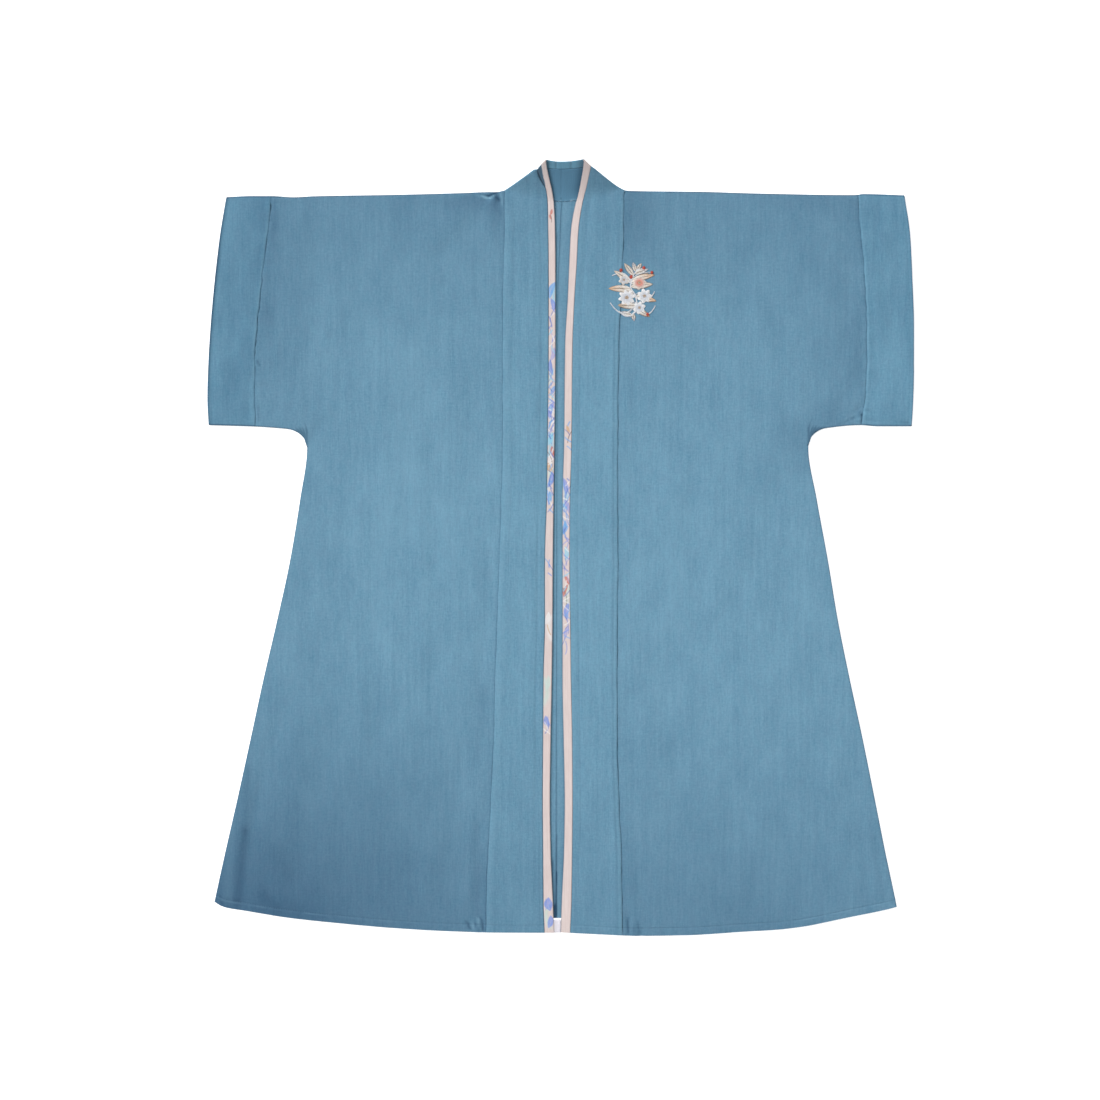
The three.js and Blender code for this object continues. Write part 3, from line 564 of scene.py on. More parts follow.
def puckers(distance, along, reach, depth, seed):
    """Small uneven gathers along a line of stitches."""
    gather = unevenness(along, 0 * along, 7.5, 50, seed) + 0.5 * unevenness(along, distance, 4, 9, seed + 1)
    return depth * gather * np.exp(-distance / reach)


def collar_seam_points(half, row):
    hem = half.hem(half.seam(-520))
    y = half.way_down(row, half.shoulder[1], hem)
    return half.seam(y), y


def cuff_seam_points(half, row):
    x = half.cuff_seam(lerp(half.sleeve_high, half.sleeve_low, row))
    return x, lerp(half.top(x), half.under_arm(x), row)


def collar_line(half, row, which):
    """The edging's join or free edge at the body's rows, ahead of the seam near the shoulder."""
    seam_x, seam_y = collar_seam_points(half, row)
    ahead = smoothstep(seam_y, TILT_START, half.shoulder[1]) * (half.peak[which] - half.shoulder[1])
    below = half.line[which](seam_y + ahead)
    hem = (half.hem(below) - half.hem(seam_x)) * smoothstep(row, 1.96, 2)
    y = seam_y + ahead + hem
    return half.line[which](y), y


def collar_back_line(half, step, which):
    x, y = collar_line(half, 0.0, which)
    return lerp(x, COLLAR_BACK_X, step), lerp(y, COLLAR_BACK_Y[which], 1 - (1 - step) ** 2)


def back_neck_seam(half, step):
    x = lerp(half.shoulder[0], centre_back(NECK_SEAM_Y), step)
    return x, neck_seam(x)


# Meshes ------------------------------------------------------------------------------------------


def make_piece(name, points, faces, material, marks=None):
    """A visible piece from points in millimetres, with its marks at every point."""
    mesh = bpy.data.meshes.new(name)
    mesh.from_pydata((points * MM).tolist(), [], faces)
    for mark, values in (marks or {}).items():
        if values.ndim > 1:
            layer = mesh.attributes.new(mark, "FLOAT_COLOR", "POINT")
            values = np.concatenate([values, np.ones((len(values), 1))], 1)
            layer.data.foreach_set("color", values.astype(np.float32).ravel())
        else:
            layer = mesh.attributes.new(mark, "FLOAT", "POINT")
            layer.data.foreach_set("value", values.astype(np.float32))
    mesh.shade_smooth()
    mesh.materials.append(material)
    piece = bpy.data.objects.new(name, mesh)
    bpy.context.scene.collection.objects.link(piece)
    return piece


def tube_faces(number):
    """Faces round threads, from the numbers of the points in their rings."""
    turned = np.roll(number, -1, axis=2)
    quads = np.stack([number[:, :-1], turned[:, :-1], turned[:, 1:], number[:, 1:]], -1)
    return quads.reshape(-1, 4).tolist()


class ClothWall:
    """Cloth gathered from grids of points, with its own thickness and marks at every point."""

    # Marks: the first darkens for dark seam lines and painted shade in folds, creases and along turned edges;
    # the second is painted shade with a little random tone; the third is painted highlight.
    def __init__(self, marks=("seam", "dye", "light")):
        self.points, self.walls, self.quads = [], [], []
        self.marks = {name: [] for name in marks}
        self.count = 0

    def add(self, x, y, z, wall, **marks):
        x, y, z, wall = np.broadcast_arrays(*(np.asarray(a, float) for a in (x, y, z, wall)))
        self.points.append(np.stack([x, y, z], -1).reshape(-1, 3))
        self.walls.append(wall.ravel())
        for name, kept in self.marks.items():
            value = np.asarray(marks.get(name, 0.0), float)
            if name.endswith("colour"):
                kept.append(np.broadcast_to(value, (*x.shape, 3)).reshape(-1, 3))
            else:
                kept.append(np.broadcast_to(value, x.shape).ravel())
        numbers = self.count + np.arange(x.size).reshape(x.shape)
        self.count += x.size
        return numbers

    def fill(self, numbers, has=None):
        n = np.asarray(numbers)
        quads = np.stack([n[:-1, :-1], n[1:, :-1], n[1:, 1:], n[:-1, 1:]], -1).reshape(-1, 4)
        self.quads.append(quads if has is None else quads[has.ravel()])

    def middle_surface(self):
        """Points, faces turned all one way, and the direction across the cloth at every point."""
        points, quads = np.concatenate(self.points), np.concatenate(self.quads)
        used, quads = np.unique(quads, return_inverse=True)
        points, quads = points[used], quads.reshape(-1, 4)
        draft = bpy.data.meshes.new("draft")
        draft.from_pydata(points.tolist(), [], quads.tolist())
        net = bmesh.new()
        net.from_mesh(draft)
        bmesh.ops.recalc_face_normals(net, faces=net.faces)
        net.to_mesh(draft)
        net.free()
        turned = np.zeros(len(draft.loops), np.int32)
        draft.loops.foreach_get("vertex_index", turned)
        bpy.data.meshes.remove(draft)
        quads = turned.reshape(-1, 4)
        corners = points[quads]
        face_normals = np.cross(corners[:, 2] - corners[:, 0], corners[:, 3] - corners[:, 1])
        across = np.zeros_like(points)
        for k in range(4):
            np.add.at(across, quads[:, k], face_normals)
        across /= np.maximum(np.linalg.norm(across, axis=1, keepdims=True), 1e-9)
        return used, points, quads, across

    def build(self, name, material):
        used, points, quads, across = self.middle_surface()
        half_wall = np.concatenate(self.walls)[used][:, None] / 2
        count = len(points)
        both = np.concatenate([points + across * half_wall, points - across * half_wall])
        ends = np.stack([quads, np.roll(quads, -1, axis=1)], -1).reshape(-1, 2)
        there, back = ends[:, 0] * count + ends[:, 1], ends[:, 1] * count + ends[:, 0]
        rim = ends[~np.isin(there, back)]
        rims = np.stack([rim[:, 1], rim[:, 0], rim[:, 0] + count, rim[:, 1] + count], -1)
        faces = np.concatenate([quads, quads[:, ::-1] + count, rims])
        marks = {mark: np.concatenate([np.concatenate(kept)[used]] * 2) for mark, kept in self.marks.items()}
        return make_piece(name, both, faces.tolist(), material, marks)


def round_fold(wall, upper_plan, inward, upper_z, lower_z, cloth, around, **marks):
    """Cross lines that turn the upper layer into the lower one; returns their point numbers."""
    x, y = upper_plan
    centre = (upper_z + lower_z) / 2
    rise = (upper_z - lower_z) / 2
    radius = np.clip(rise, *FOLD_RADIUS)
    rows = []
    for angle in np.radians(around):
        inset = cloth / 2 + radius * (1 - np.cos(angle))
        z = centre + rise * np.sin(angle)
        rows.append(wall.add(x + inward[0] * inset, y + inward[1] * inset, z, cloth, **marks))
    return rows


def inward_of(x, y, inside):
    """Unit directions square to a line of the plan, towards a point inside it."""
    dx, dy = np.gradient(x), np.gradient(y)
    length = np.hypot(dx, dy)
    nx, ny = -dy / length, dx / length
    middle = len(x) // 2
    side = np.sign(nx[middle] * (inside[0] - x[middle]) + ny[middle] * (inside[1] - y[middle]))
    return nx * side, ny * side


# Body --------------------------------------------------------------------------------------------

UPPER_LENGTH, LOWER_LENGTH, EDGING_LOWER_LENGTH = 345, 640, 657  # above and below the armpit's level
UPPER_ROWS = stations(UPPER_LENGTH, 4.3, start=TOP_STEPS, end=(1.5, 3, 4.8, 7))
LOWER_ROWS = stations(LOWER_LENGTH, 4.5, end=HEM_STEPS)
BODY_ROWS = np.concatenate([UPPER_ROWS, 1 + LOWER_ROWS[1:]])
SLEEVE_COLUMNS = stations(70, 4.2, start=SEAM_STEPS)
PANEL_COLUMNS = stations(300, 4.5, start=EDGE_STEPS, end=(*SEAM_STEPS, 14.5, 17, 19.5, 22, 24.5))
NECK_COLUMNS = stations(80, 5.5, start=(4,), end=(0.8, 2, 4))


def sleeve_plan(half, column, row):
    seam_x, _ = cuff_seam_points(half, row)
    x = lerp(seam_x - half.out * SEAM_GAP / 2, half.armpit_x, column)
    return x, lerp(half.top(x), half.under_arm(x), row)


def panel_plan(half, column, row, hem):
    y = half.way_down(row, 485, -510)
    for _ in range(3):
        x = lerp(half.side(y), half.seam(y) + half.out * SEAM_GAP / 2, column)
        y = half.way_down(row, half.top(x), hem(x))
    return x, y


def back_plan(half, column, row):
    top_x, top_y = back_neck_seam(half, column)
    guess = half.way_down(row, top_y, BACK_HEM_Y)
    centre = centre_back(guess) + half.out * SEAM_GAP / 2
    x = lerp(half.seam(guess), centre, column)
    x = lerp(top_x + column * half.out * SEAM_GAP / 2, x, smoothstep(row, 0, 0.05))
    return x, half.way_down(row, top_y - SEAM_GAP / 2, half.back_hem(x))


def edge_distance(half, x, y):
    """Distance of the body's points from its folded edges."""
    on_sleeve = (half.out * (x - half.armpit_x) > 0) & (y > half.armpit_y - 3)
    top, arm = half.top(x) - y, np.where(on_sleeve, y - half.under_arm(x), 99)
    side = np.where(y < half.armpit_y + 25, half.out * (half.side(y) - x), 99)
    return np.maximum(np.minimum(np.minimum(top, arm), side), 0)


def build_body(half, cloth, material):
    wall = ClothWall()
    sleeve = np.meshgrid(SLEEVE_COLUMNS[:-1], BODY_ROWS, indexing="ij")
    panel = np.meshgrid(PANEL_COLUMNS, BODY_ROWS, indexing="ij")
    neck = np.meshgrid(NECK_COLUMNS[1:], BODY_ROWS, indexing="ij")
    first = len(SLEEVE_COLUMNS) - 1
    low = len(UPPER_ROWS) - 1

    def layer(hem, back):
        xs, ys = zip(sleeve_plan(half, *sleeve), panel_plan(half, *panel, hem))
        if back:
            x, y = back_plan(half, *neck)
            xs, ys = (*xs, x), (*ys, y)
        return np.concatenate(xs), np.concatenate(ys)

    def marks(x, y, on_front):
        beside_back = x - centre_back(y)
        hem_y = y - half.hem(x)
        if on_front:
            seam = seam_line(np.abs(x - half.seam(y)), y, COLLAR_SEAM_SHADE * half.crisp(y), 81)
            # Painted shade on the body beside the collar seam.
            seam = seam + 0.09 * bell(x - half.seam(y), 3.5)
            shown = (0.15 + 0.85 * np.abs(x / 450) ** 2) * (0.5 + 0.5 * unevenness(x, 0 * x, 11, 9, 91))
            # Painted highlights on the ridge of the hem's turn and on ridges beside folds.
            light = 0.3 * bell(hem_y - HEM_TURN + 1.1, 0.45) * shown + along_lines(PAINTED_RIDGE_HIGHLIGHTS, x, y)
        else:
            # Painted shade along pressed lines beside the centre back, and a painted highlight beside its
            # seam.
            pressed = 0.13 * bell(beside_back - 9, 0.9) + 0.2 * bell(beside_back + 3.8, 0.8) * (y < 430)
            seam = BACK_SEAM_SHADE * bell(beside_back, LINE_WIDTH) + pressed
            light = 0.16 * bell(beside_back - 3.2, 1.6)
        cuff = seam_line(np.abs(x - half.cuff_seam(y)), y, CUFF_SEAM_SHADE, 83) * (y > CUFF_LOW)
        # Painted shade along the folded edges.
        edge = rolled_edge(edge_distance(half, x, y))
        # Painted shade in the hem's gathers and along the top of its turn.
        gathers = 0.12 * np.clip(unevenness(x, hem_y, 7, 14, 97), 0, 1) * bell(hem_y - HEM_MIDDLE, 4)
        hem = (HEM_SHADE * bell(hem_y - HEM_TURN, 0.8) + gathers) * on_front
        line = seam + cuff + edge + hem + along_lines(SHADED_FOLDS, x, y)
        # Painted shade, weaker on the back layer.
        dye = dye_depth(x, y) * (1 if on_front else 0.7)
        return {"seam": np.clip(line, 0, 1), "dye": dye, "light": light}

    def front_z(x, y):
        to_seam = np.abs(x - half.seam(y))
        to_cuff = np.where(y > CUFF_LOW, np.abs(x - half.cuff_seam(y)), 999)
        hem_y = y - half.hem(x)
        z = BODY_WALL + LAYER_GAP + BODY_WALL - cloth / 2 + front_lift(half, x, y)
        z = z + groove(to_seam, 1.5, 0.5 * half.crisp(y)) + groove(to_cuff, 1.8, 0.35)
        z = z + groove(hem_y - HEM_TURN, 0.7, 0.3)
        z = z + puckers(to_seam, y, 9, 0.4, 11) + puckers(to_cuff, y, 16, 0.8, 21)
        return z + puckers(np.abs(hem_y - HEM_MIDDLE), x, 6, 0.55, 31)

    def back_z(x, y):
        soft = 0.12 * (1 + unevenness(x, y, 40, 70, 41)) * smoothstep(np.abs(x), 20, 60)
        beside_back = x - centre_back(y)
        return cloth / 2 + soft + 0.3 * bell(beside_back, 2.5) + 0.25 * bell(beside_back + 6, 1.5)

    fx, fy = layer(half.hem, False)
    bx, by = layer(half.back_hem, True)
    shoulder = (slice(0, first + len(PANEL_COLUMNS)), 0)
    under_path = (
        np.concatenate([np.arange(first), np.full(len(BODY_ROWS) - low, first)]),
        np.concatenate([np.full(first, low), np.arange(low, len(BODY_ROWS))]),
    )
    inside = (half.out * 200, 300)
    folds = []
    for at in (shoulder, under_path):
        x, y = fx[at].copy(), fy[at].copy()
        inward = inward_of(x, y, inside)
        inset = cloth / 2 + FOLD_INSET
        fx[at], fy[at] = x + inward[0] * inset, y + inward[1] * inset
        bx[at], by[at] = fx[at], fy[at]
        folds.append((at, (x, y), inward))
    hem_row = bell(np.minimum(fy - half.hem(fx), 99), 9) * 0.45
    upper_z, lower_z = front_z(fx, fy), back_z(bx, by)
    thick = cloth + hem_row
    edge = 1 - 0.75 * half.crisp(fy) * bell(np.abs(fx - half.seam(fy)), 0.45)
    upper = wall.add(fx, fy, upper_z, thick * edge, **marks(fx, fy, True))
    lower = wall.add(bx, by, lower_z, cloth, **marks(bx, by, False))

    def has(shape):
        keep = np.ones((shape[0] - 1, shape[1] - 1), bool)
        keep[:first, low:] = False
        return keep

    wall.fill(upper, has(upper.shape))
    wall.fill(lower, has(lower.shape))
    for at, plan, inward in folds:
        turned = marks(*plan, False)
        rows = round_fold(wall, plan, inward, upper_z[at], lower_z[at], cloth, SIDE_TURN, **turned)
        wall.fill(np.stack([upper[at], *rows, lower[at]]))
    return wall.build(f"body_cloth_{half.name}", material)


# Sleeve bands ------------------------------------------------------------------------------------

CUFF_WIDTH, CUFF_BACK = 65, 0.05  # the back layer's height over the floor
CUFF_ROWS = stations(313, 4.2, start=EDGE_STEPS, end=EDGE_STEPS)
CUFF_COLUMNS = stations(CUFF_WIDTH, 4, start=SEAM_STEPS, end=(0.4, 1.0, 2.0, 4, 5.2, 6, 7))


def build_cuff(half, cloth, material):
    wall = ClothWall()
    column, row = np.meshgrid(CUFF_COLUMNS, CUFF_ROWS, indexing="ij")
    seam_x, seam_y = cuff_seam_points(half, row)
    x = lerp(seam_x + half.out * SEAM_GAP / 2, half.end(seam_y), column)
    y = lerp(half.top(x), half.under_arm(x), row)
    to_seam, to_end = column * CUFF_WIDTH, (1 - column) * CUFF_WIDTH
    thick = cloth * (1 - 0.5 * bell(to_seam, 0.5)) * (1 - 0.5 * bell(to_end, 0.4)) + 0.35 * bell(to_end, 4)
    # Painted shade along the folded edges, darkest along the left band's open end.
    edge = rolled_edge(np.minimum(half.top(x) - y, y - half.under_arm(x)))
    if half is LEFT:
        strong = 0.45 + 0.55 * bell(y - 350, 120)
        edge = edge + rolled_edge(np.maximum(to_end - 0.6, 0) / 1.7, 0.95) * strong
    else:
        edge = edge + rolled_edge(to_end, 0.6)
    # Dark seam line, and a line of painted shade where the end's hem turns.
    seam = seam_line(to_seam, y, CUFF_SEAM_SHADE, 83) + 0.1 * bell(to_end - 5.2, 0.7)
    seam = seam + along_lines(SHADED_FOLDS, x, y)
    # The left band is painted darker than the right, with random tone and painted shade.
    deep = (0.24 if half is LEFT else 0.16) + 0.07 * unevenness(x, y, 13, 38, 87)
    deep = deep + 0.3 * dye_depth(x, y) - 0.04
    shown = 0.45 + 0.55 * unevenness(0 * y, y, 9, 26, 93) + 0.3 * unevenness(0 * y, y, 9, 7, 94)
    # Painted highlight on the ridge beside the seam, and on ridges beside folds.
    light = 0.34 * bell(to_seam - 2.2, 1.1) * np.clip(shown, 0, 1) + along_lines(PAINTED_RIDGE_HIGHLIGHTS, x, y)
    marks = {"seam": np.clip(seam + edge, 0, 1), "dye": deep, "light": light}

    def front_z(x, y):
        z = CUFF_WALL + LAYER_GAP + CUFF_WALL - cloth / 2 + front_lift(half, x, y)
        z = z + groove(to_seam, 1.8, 0.35) + 0.35 * bell(to_seam - 3, 1.4) + groove(to_end - 5.2, 0.8, 0.25)
        z = z + 0.5 * unevenness(x, y, 11, 40, 27) * bell(to_seam - 16, 18)
        return z + puckers(to_seam, y, 14, 0.7, 23) + puckers(to_end, y, 8, 0.4, 25)

    fx, fy = x.copy(), y.copy()
    inside = (half.out * 440, 300)
    folds = []
    for r in (0, -1):
        px, py = x[:, r].copy(), y[:, r].copy()
        inward = inward_of(px, py, inside)
        inset = cloth / 2 + FOLD_INSET
        fx[:, r], fy[:, r] = px + inward[0] * inset, py + inward[1] * inset
        folds.append((r, (px, py), inward))
    upper_z = front_z(fx, fy)
    upper = wall.add(fx, fy, upper_z, thick, **marks)
    lower_z = np.full_like(fx, cloth / 2 + CUFF_BACK)
    lower = wall.add(fx, fy, lower_z, cloth, **marks)
    wall.fill(upper)
    wall.fill(lower)
    for r, plan, inward in folds:
        turned = {name: mark[:, r] for name, mark in marks.items()}
        rows = round_fold(wall, plan, inward, upper_z[:, r], lower_z[:, r], cloth, SIDE_TURN, **turned)
        wall.fill(np.stack([upper[:, r], *rows, lower[:, r]]))
    return wall.build(f"cuff_cloth_{half.name}", material)


# Collar bands and edging -------------------------------------------------------------------------

BAND_COLUMNS = stations(
    58, 3.4, start=(*SEAM_STEPS, 12.9, 14), end=(0.6, 1.3, 2.4, 4, 6, 8, 9.2, 10, 10.8, 11.6, 12.6)
)
BAND_BACK_STEPS = stations(80, 4, start=(3,), end=(0.8, 2, 4))


def shoulder_along(half):
    x, y = half.shoulder[0] - half.collar_peak[0], half.shoulder[1] - half.collar_peak[1]
    length = math.hypot(x, y)
    return x / length, y / length


def beside_join(half, row, x, y, side):
    """A point beside the join of collar and edging: side is 1 on the collar's side of it."""
    along = shoulder_along(half)
    at_fold = 1 - smoothstep(row, 0, 0.012)
    level_x = x + side * half.out * SEAM_GAP / 2
    return (
        lerp(level_x, x + along[0] * side * SEAM_GAP, at_fold),
        lerp(y, y + along[1] * side * SEAM_GAP, at_fold),
    )


def fold_over_shoulder(wall, half, plan, upper_z, lower_z, upper, lower, cloth, **marks):
    """Turns the front of a collar piece into its back along the shoulder fold."""
    along = shoulder_along(half)
    inward = (half.out * along[1], -half.out * along[0])
    inward = (inward[0] + 0 * plan[0], inward[1] + 0 * plan[0])
    rows = round_fold(wall, plan, inward, upper_z, lower_z, cloth, SHOULDER_TURN, **marks)
    wall.fill(np.stack([upper, *rows, lower]))


def inset_fold(half, x, y, cloth):
    along = shoulder_along(half)
    inset = cloth / 2 + FOLD_INSET
    return x + half.out * along[1] * inset, y - half.out * along[0] * inset


def shoulder_sag(half, column):
    """How far the band's shoulder fold sags between the seam and the neck."""
    sag = column * (1 - column) * (4 * half.sag[0] + 6.75 * (1 - column) * half.sag[1])
    return sag + (2.2 * smoothstep(column, 0.88, 1) if half is LEFT else 0)


def build_collar(half, cloth, material):
    wall = ClothWall(("seam", "dye", "light", "facing"))
    column, row = np.meshgrid(BAND_COLUMNS, BODY_ROWS, indexing="ij")
    seam_x, seam_y = collar_seam_points(half, row)
    join_x, join_y = beside_join(half, row, *collar_line(half, row, "join"), 1)
    fx = lerp(seam_x - half.out * SEAM_GAP / 2, join_x, column)
    fy = lerp(seam_y, join_y, column)
    fy = fy - shoulder_sag(half, column) * (1 - smoothstep(row, 0, 0.08))
    width = np.hypot(join_x - seam_x, join_y - seam_y)
    to_seam, to_join = column * width, (1 - column) * width
    hem_y = fy - half.hem(fx)
    fold_line = (fx[:, 0].copy(), fy[:, 0].copy())
    fx[:, 0], fy[:, 0] = inset_fold(half, *fold_line, cloth)

    back_column, step = np.meshgrid(BAND_COLUMNS, BAND_BACK_STEPS, indexing="ij")
    neck_x, neck_y = back_neck_seam(half, step)
    back_x, back_y = collar_back_line(half, step, "join")
    bx = lerp(neck_x, back_x, back_column)
    bx = np.where(step >= 1, COLLAR_BACK_X + half.out * SEAM_GAP / 2, bx)
    by = lerp(neck_y + SEAM_GAP / 2, back_y - SEAM_GAP / 2, back_column)
    by = by - shoulder_sag(half, back_column) * (1 - smoothstep(step, 0, 0.25))
    bx[:, 0], by[:, 0] = fx[:, 0], fy[:, 0]
    by = np.maximum(by, neck_seam(bx) + SEAM_GAP / 2)

    gap = collar_gap(half, fx, fy)
    upper_z = BODY_WALL + LAYER_GAP + BAND_WALL - cloth / 2 + front_lift(half, fx, fy, 0.6) - gap
    upper_z = upper_z + groove(to_seam, 1.6, 0.5 * half.crisp(fy)) + groove(hem_y - HEM_TURN, 0.7, 0.3)
    upper_z = upper_z + puckers(to_seam, fy, 9, 0.28, 13) + puckers(to_join, fy, 6, 0.18, 15)
    upper_z = upper_z + puckers(np.abs(hem_y - HEM_MIDDLE), fx, 6, 0.2, 17) + band_press(half, fx, fy)
    lower_z = BAND_WALL - cloth / 2 + neck_rise(bx, by)
    lower_z = lower_z + groove(np.abs(bx - COLLAR_BACK_X), 1.6, 0.25) * (bell(1 - step, 0.4) > 0.01)
    to_neck = by - neck_seam(bx)
    sunk = 0.5 * np.clip(0.5 + 0.8 * unevenness(bx, 0 * bx, 6, 9, 20), 0, 1) * bell(to_neck, 1.8)
    lower_z = np.maximum(lower_z + puckers(to_neck, bx, 4, 1.0, 19) - sunk, cloth / 2 + 0.06)
    lower_z[:, 0] = BAND_WALL - cloth / 2 + neck_rise(bx[:, 0], by[:, 0])
    edges = (1 - 0.8 * half.crisp(fy) * bell(to_seam, 0.55)) * (1 - 0.8 * bell(to_join, 0.55))
    edges = edges * (1 - 0.6 * bell(hem_y, 0.5))
    back_edges = (1 - 0.6 * bell((1 - back_column) * width[:, :1], 0.55)) * (1 - 0.45 * bell(to_neck, 0.8))
    # Painted shade along the shoulder fold.
    fold_edge_shade = rolled_edge(row * (half.shoulder[1] - half.armpit_y), 0.4)
    line = seam_line(to_seam, fy, COLLAR_SEAM_SHADE * half.crisp(fy), 81)
    line = line + seam_line(to_join, fy, JOIN_SHADE, 85) + fold_edge_shade
    line = line + HEM_SHADE * bell(hem_y - HEM_TURN, 0.8) + pressed_lines(half, fx, fy)
    # Painted highlights on the hem's edge and, on the band's side, beside the collar seam.
    painted_hem_highlight = 0.05 * bell(hem_y - HEM_TURN + 1.1, 0.7)
    beside = 0.12 * bell(to_seam - (4 if half is LEFT else 3), 3.4 if half is LEFT else 2.2) * (fy < 470)
    beside = beside * (0.75 + 0.25 * unevenness(0 * fy, fy, 9, 31, 96))
    # Painted shade as on the body, but weaker.
    front_marks = {
        "seam": np.clip(line + knob_shade(half, fx, fy), 0, 1),
        "dye": 0.6 * dye_depth(fx, fy),
        "light": painted_hem_highlight + beside,
    }
    inner_line = 0.1 * bell(by - neck_seam(bx), 1.0) + 0.14 * bell(bx - COLLAR_BACK_X, 0.9)
    pucker = np.clip(0.35 + 0.65 * unevenness(bx, 0 * bx, 3.5, 9, 95), 0, 1)
    # Painted highlights on the puckers along the neck seam.
    painted_pucker_highlight = 0.8 * pucker * bell(by - neck_seam(bx) - 1.2, 1.0)
    # The collar's inside is set to be painted darker as shade, with painted shade beside the strips.
    back_marks = {
        "seam": np.clip(inner_line + strip_shade(bx, by), 0, 1),
        "dye": 0.02,
        "light": painted_pucker_highlight,
        "facing": 1,
    }
    upper = wall.add(fx, fy, upper_z, cloth * edges, **front_marks)
    lower = wall.add(bx, by, lower_z, cloth * back_edges, **back_marks)
    wall.fill(upper)
    wall.fill(lower)
    # A little painted shade round the shoulder fold.
    fold_over_shoulder(
        wall, half, fold_line, upper_z[:, 0], lower_z[:, 0], upper[:, 0], lower[:, 0], cloth, dye=0.05
    )
    return wall.build(f"collar_cloth_{half.name}", material)


def collar_gap(half, x, y):
    """The left band's rounded end, which turns down towards the edging near its peak."""
    if half.out > 0:
        return 0 * x
    edge = half.line["join"](y)
    return 2.4 * smoothstep(x, edge - 4.5, edge) * smoothstep(y, 486, 500)


def knob_shade(half, x, y):
    if half.out > 0:
        return 0 * x
    return 0.4 * bell(x - half.line["join"](y), 2.0) * smoothstep(y, 486, 500)


def strip_shade(x, y):
    """Soft shade on the back of the neck beside both front strips."""
    left, right = x - LEFT.line["free"](y), RIGHT.line["free"](y) - x
    return 0.42 * bell(np.maximum(left, 0), 4) + 0.6 * bell(np.maximum(right, 0), 8) * smoothstep(y, 468, 490)


# The left edging's outer part near its peak, where the band's dark inside shows: y, x
pink_edge = smooth_line((480, 485, 493, 501.5, 510, 518), (-19.4, -19.5, -20.4, -22.8, -24.4, -25.8))


BAND_ALLOWANCE = 10.4  # width of the band's turned-in edge


def pressed_lines(half, x, y):
    """Painted shade along the lines that the band's turned-in edges press into it, and along a line beside
    the collar seam.
    """
    to_line = x - half.line["join"](y) - half.out * BAND_ALLOWANCE
    faint = np.clip(0.4 + unevenness(0 * y, y, 50, 90, 51 + half.out), 0, 1) * (1 - smoothstep(y, 380, 440))
    near_join = np.clip(0.5 + unevenness(0 * y, y, 50, 60, 54 + half.out), 0, 1)
    near_join = near_join * bell(to_line + half.out * 4.9, 0.9)
    to_seam = np.abs(x - half.seam(y))
    by_seam = 0.3 * half.crisp(y) * bell(to_seam - (12.4 if half is LEFT else 6.2), 0.9)
    return 0.17 * faint * bell(to_line, 1.0) + 0.16 * near_join * (y < 470) + by_seam


def band_press(half, x, y):
    """Soft lines pressed into the band by its turned-in edges."""
    line = half.line["join"](y) + half.out * BAND_ALLOWANCE
    faint = 0.55 + 0.45 * unevenness(0 * y, y, 50, 70, 51 + half.out)
    to_seam = np.abs(x - half.seam(y))
    allowance = 0.5 * half.crisp(y) * (1 - smoothstep(to_seam, 11, 13.5)) * smoothstep(to_seam, 0.5, 3)
    ripples = 0.12 * unevenness(x, y, 5.5, 120, 57 + half.out)
    return allowance - 0.6 * faint * bell(x - line, 2.2) + ripples


EDGING_ROWS = np.concatenate(
    [stations(UPPER_LENGTH, 0.8), 1 + stations(EDGING_LOWER_LENGTH, 0.8, end=(0.4, 1.0))[1:]]
)
EDGING_COLUMNS = stations(11, 0.72, start=(0.35, 0.8, 1.4), end=(0.35, 0.8, 1.4))
TAIL_TOP = 18  # height of the left edging's turned tail
CORNER_SAG = 2.8  # how far the left edging's corner sags at the shoulder
TURNED_SHADE = 0.72  # how dark the band's inside looks where it shows there


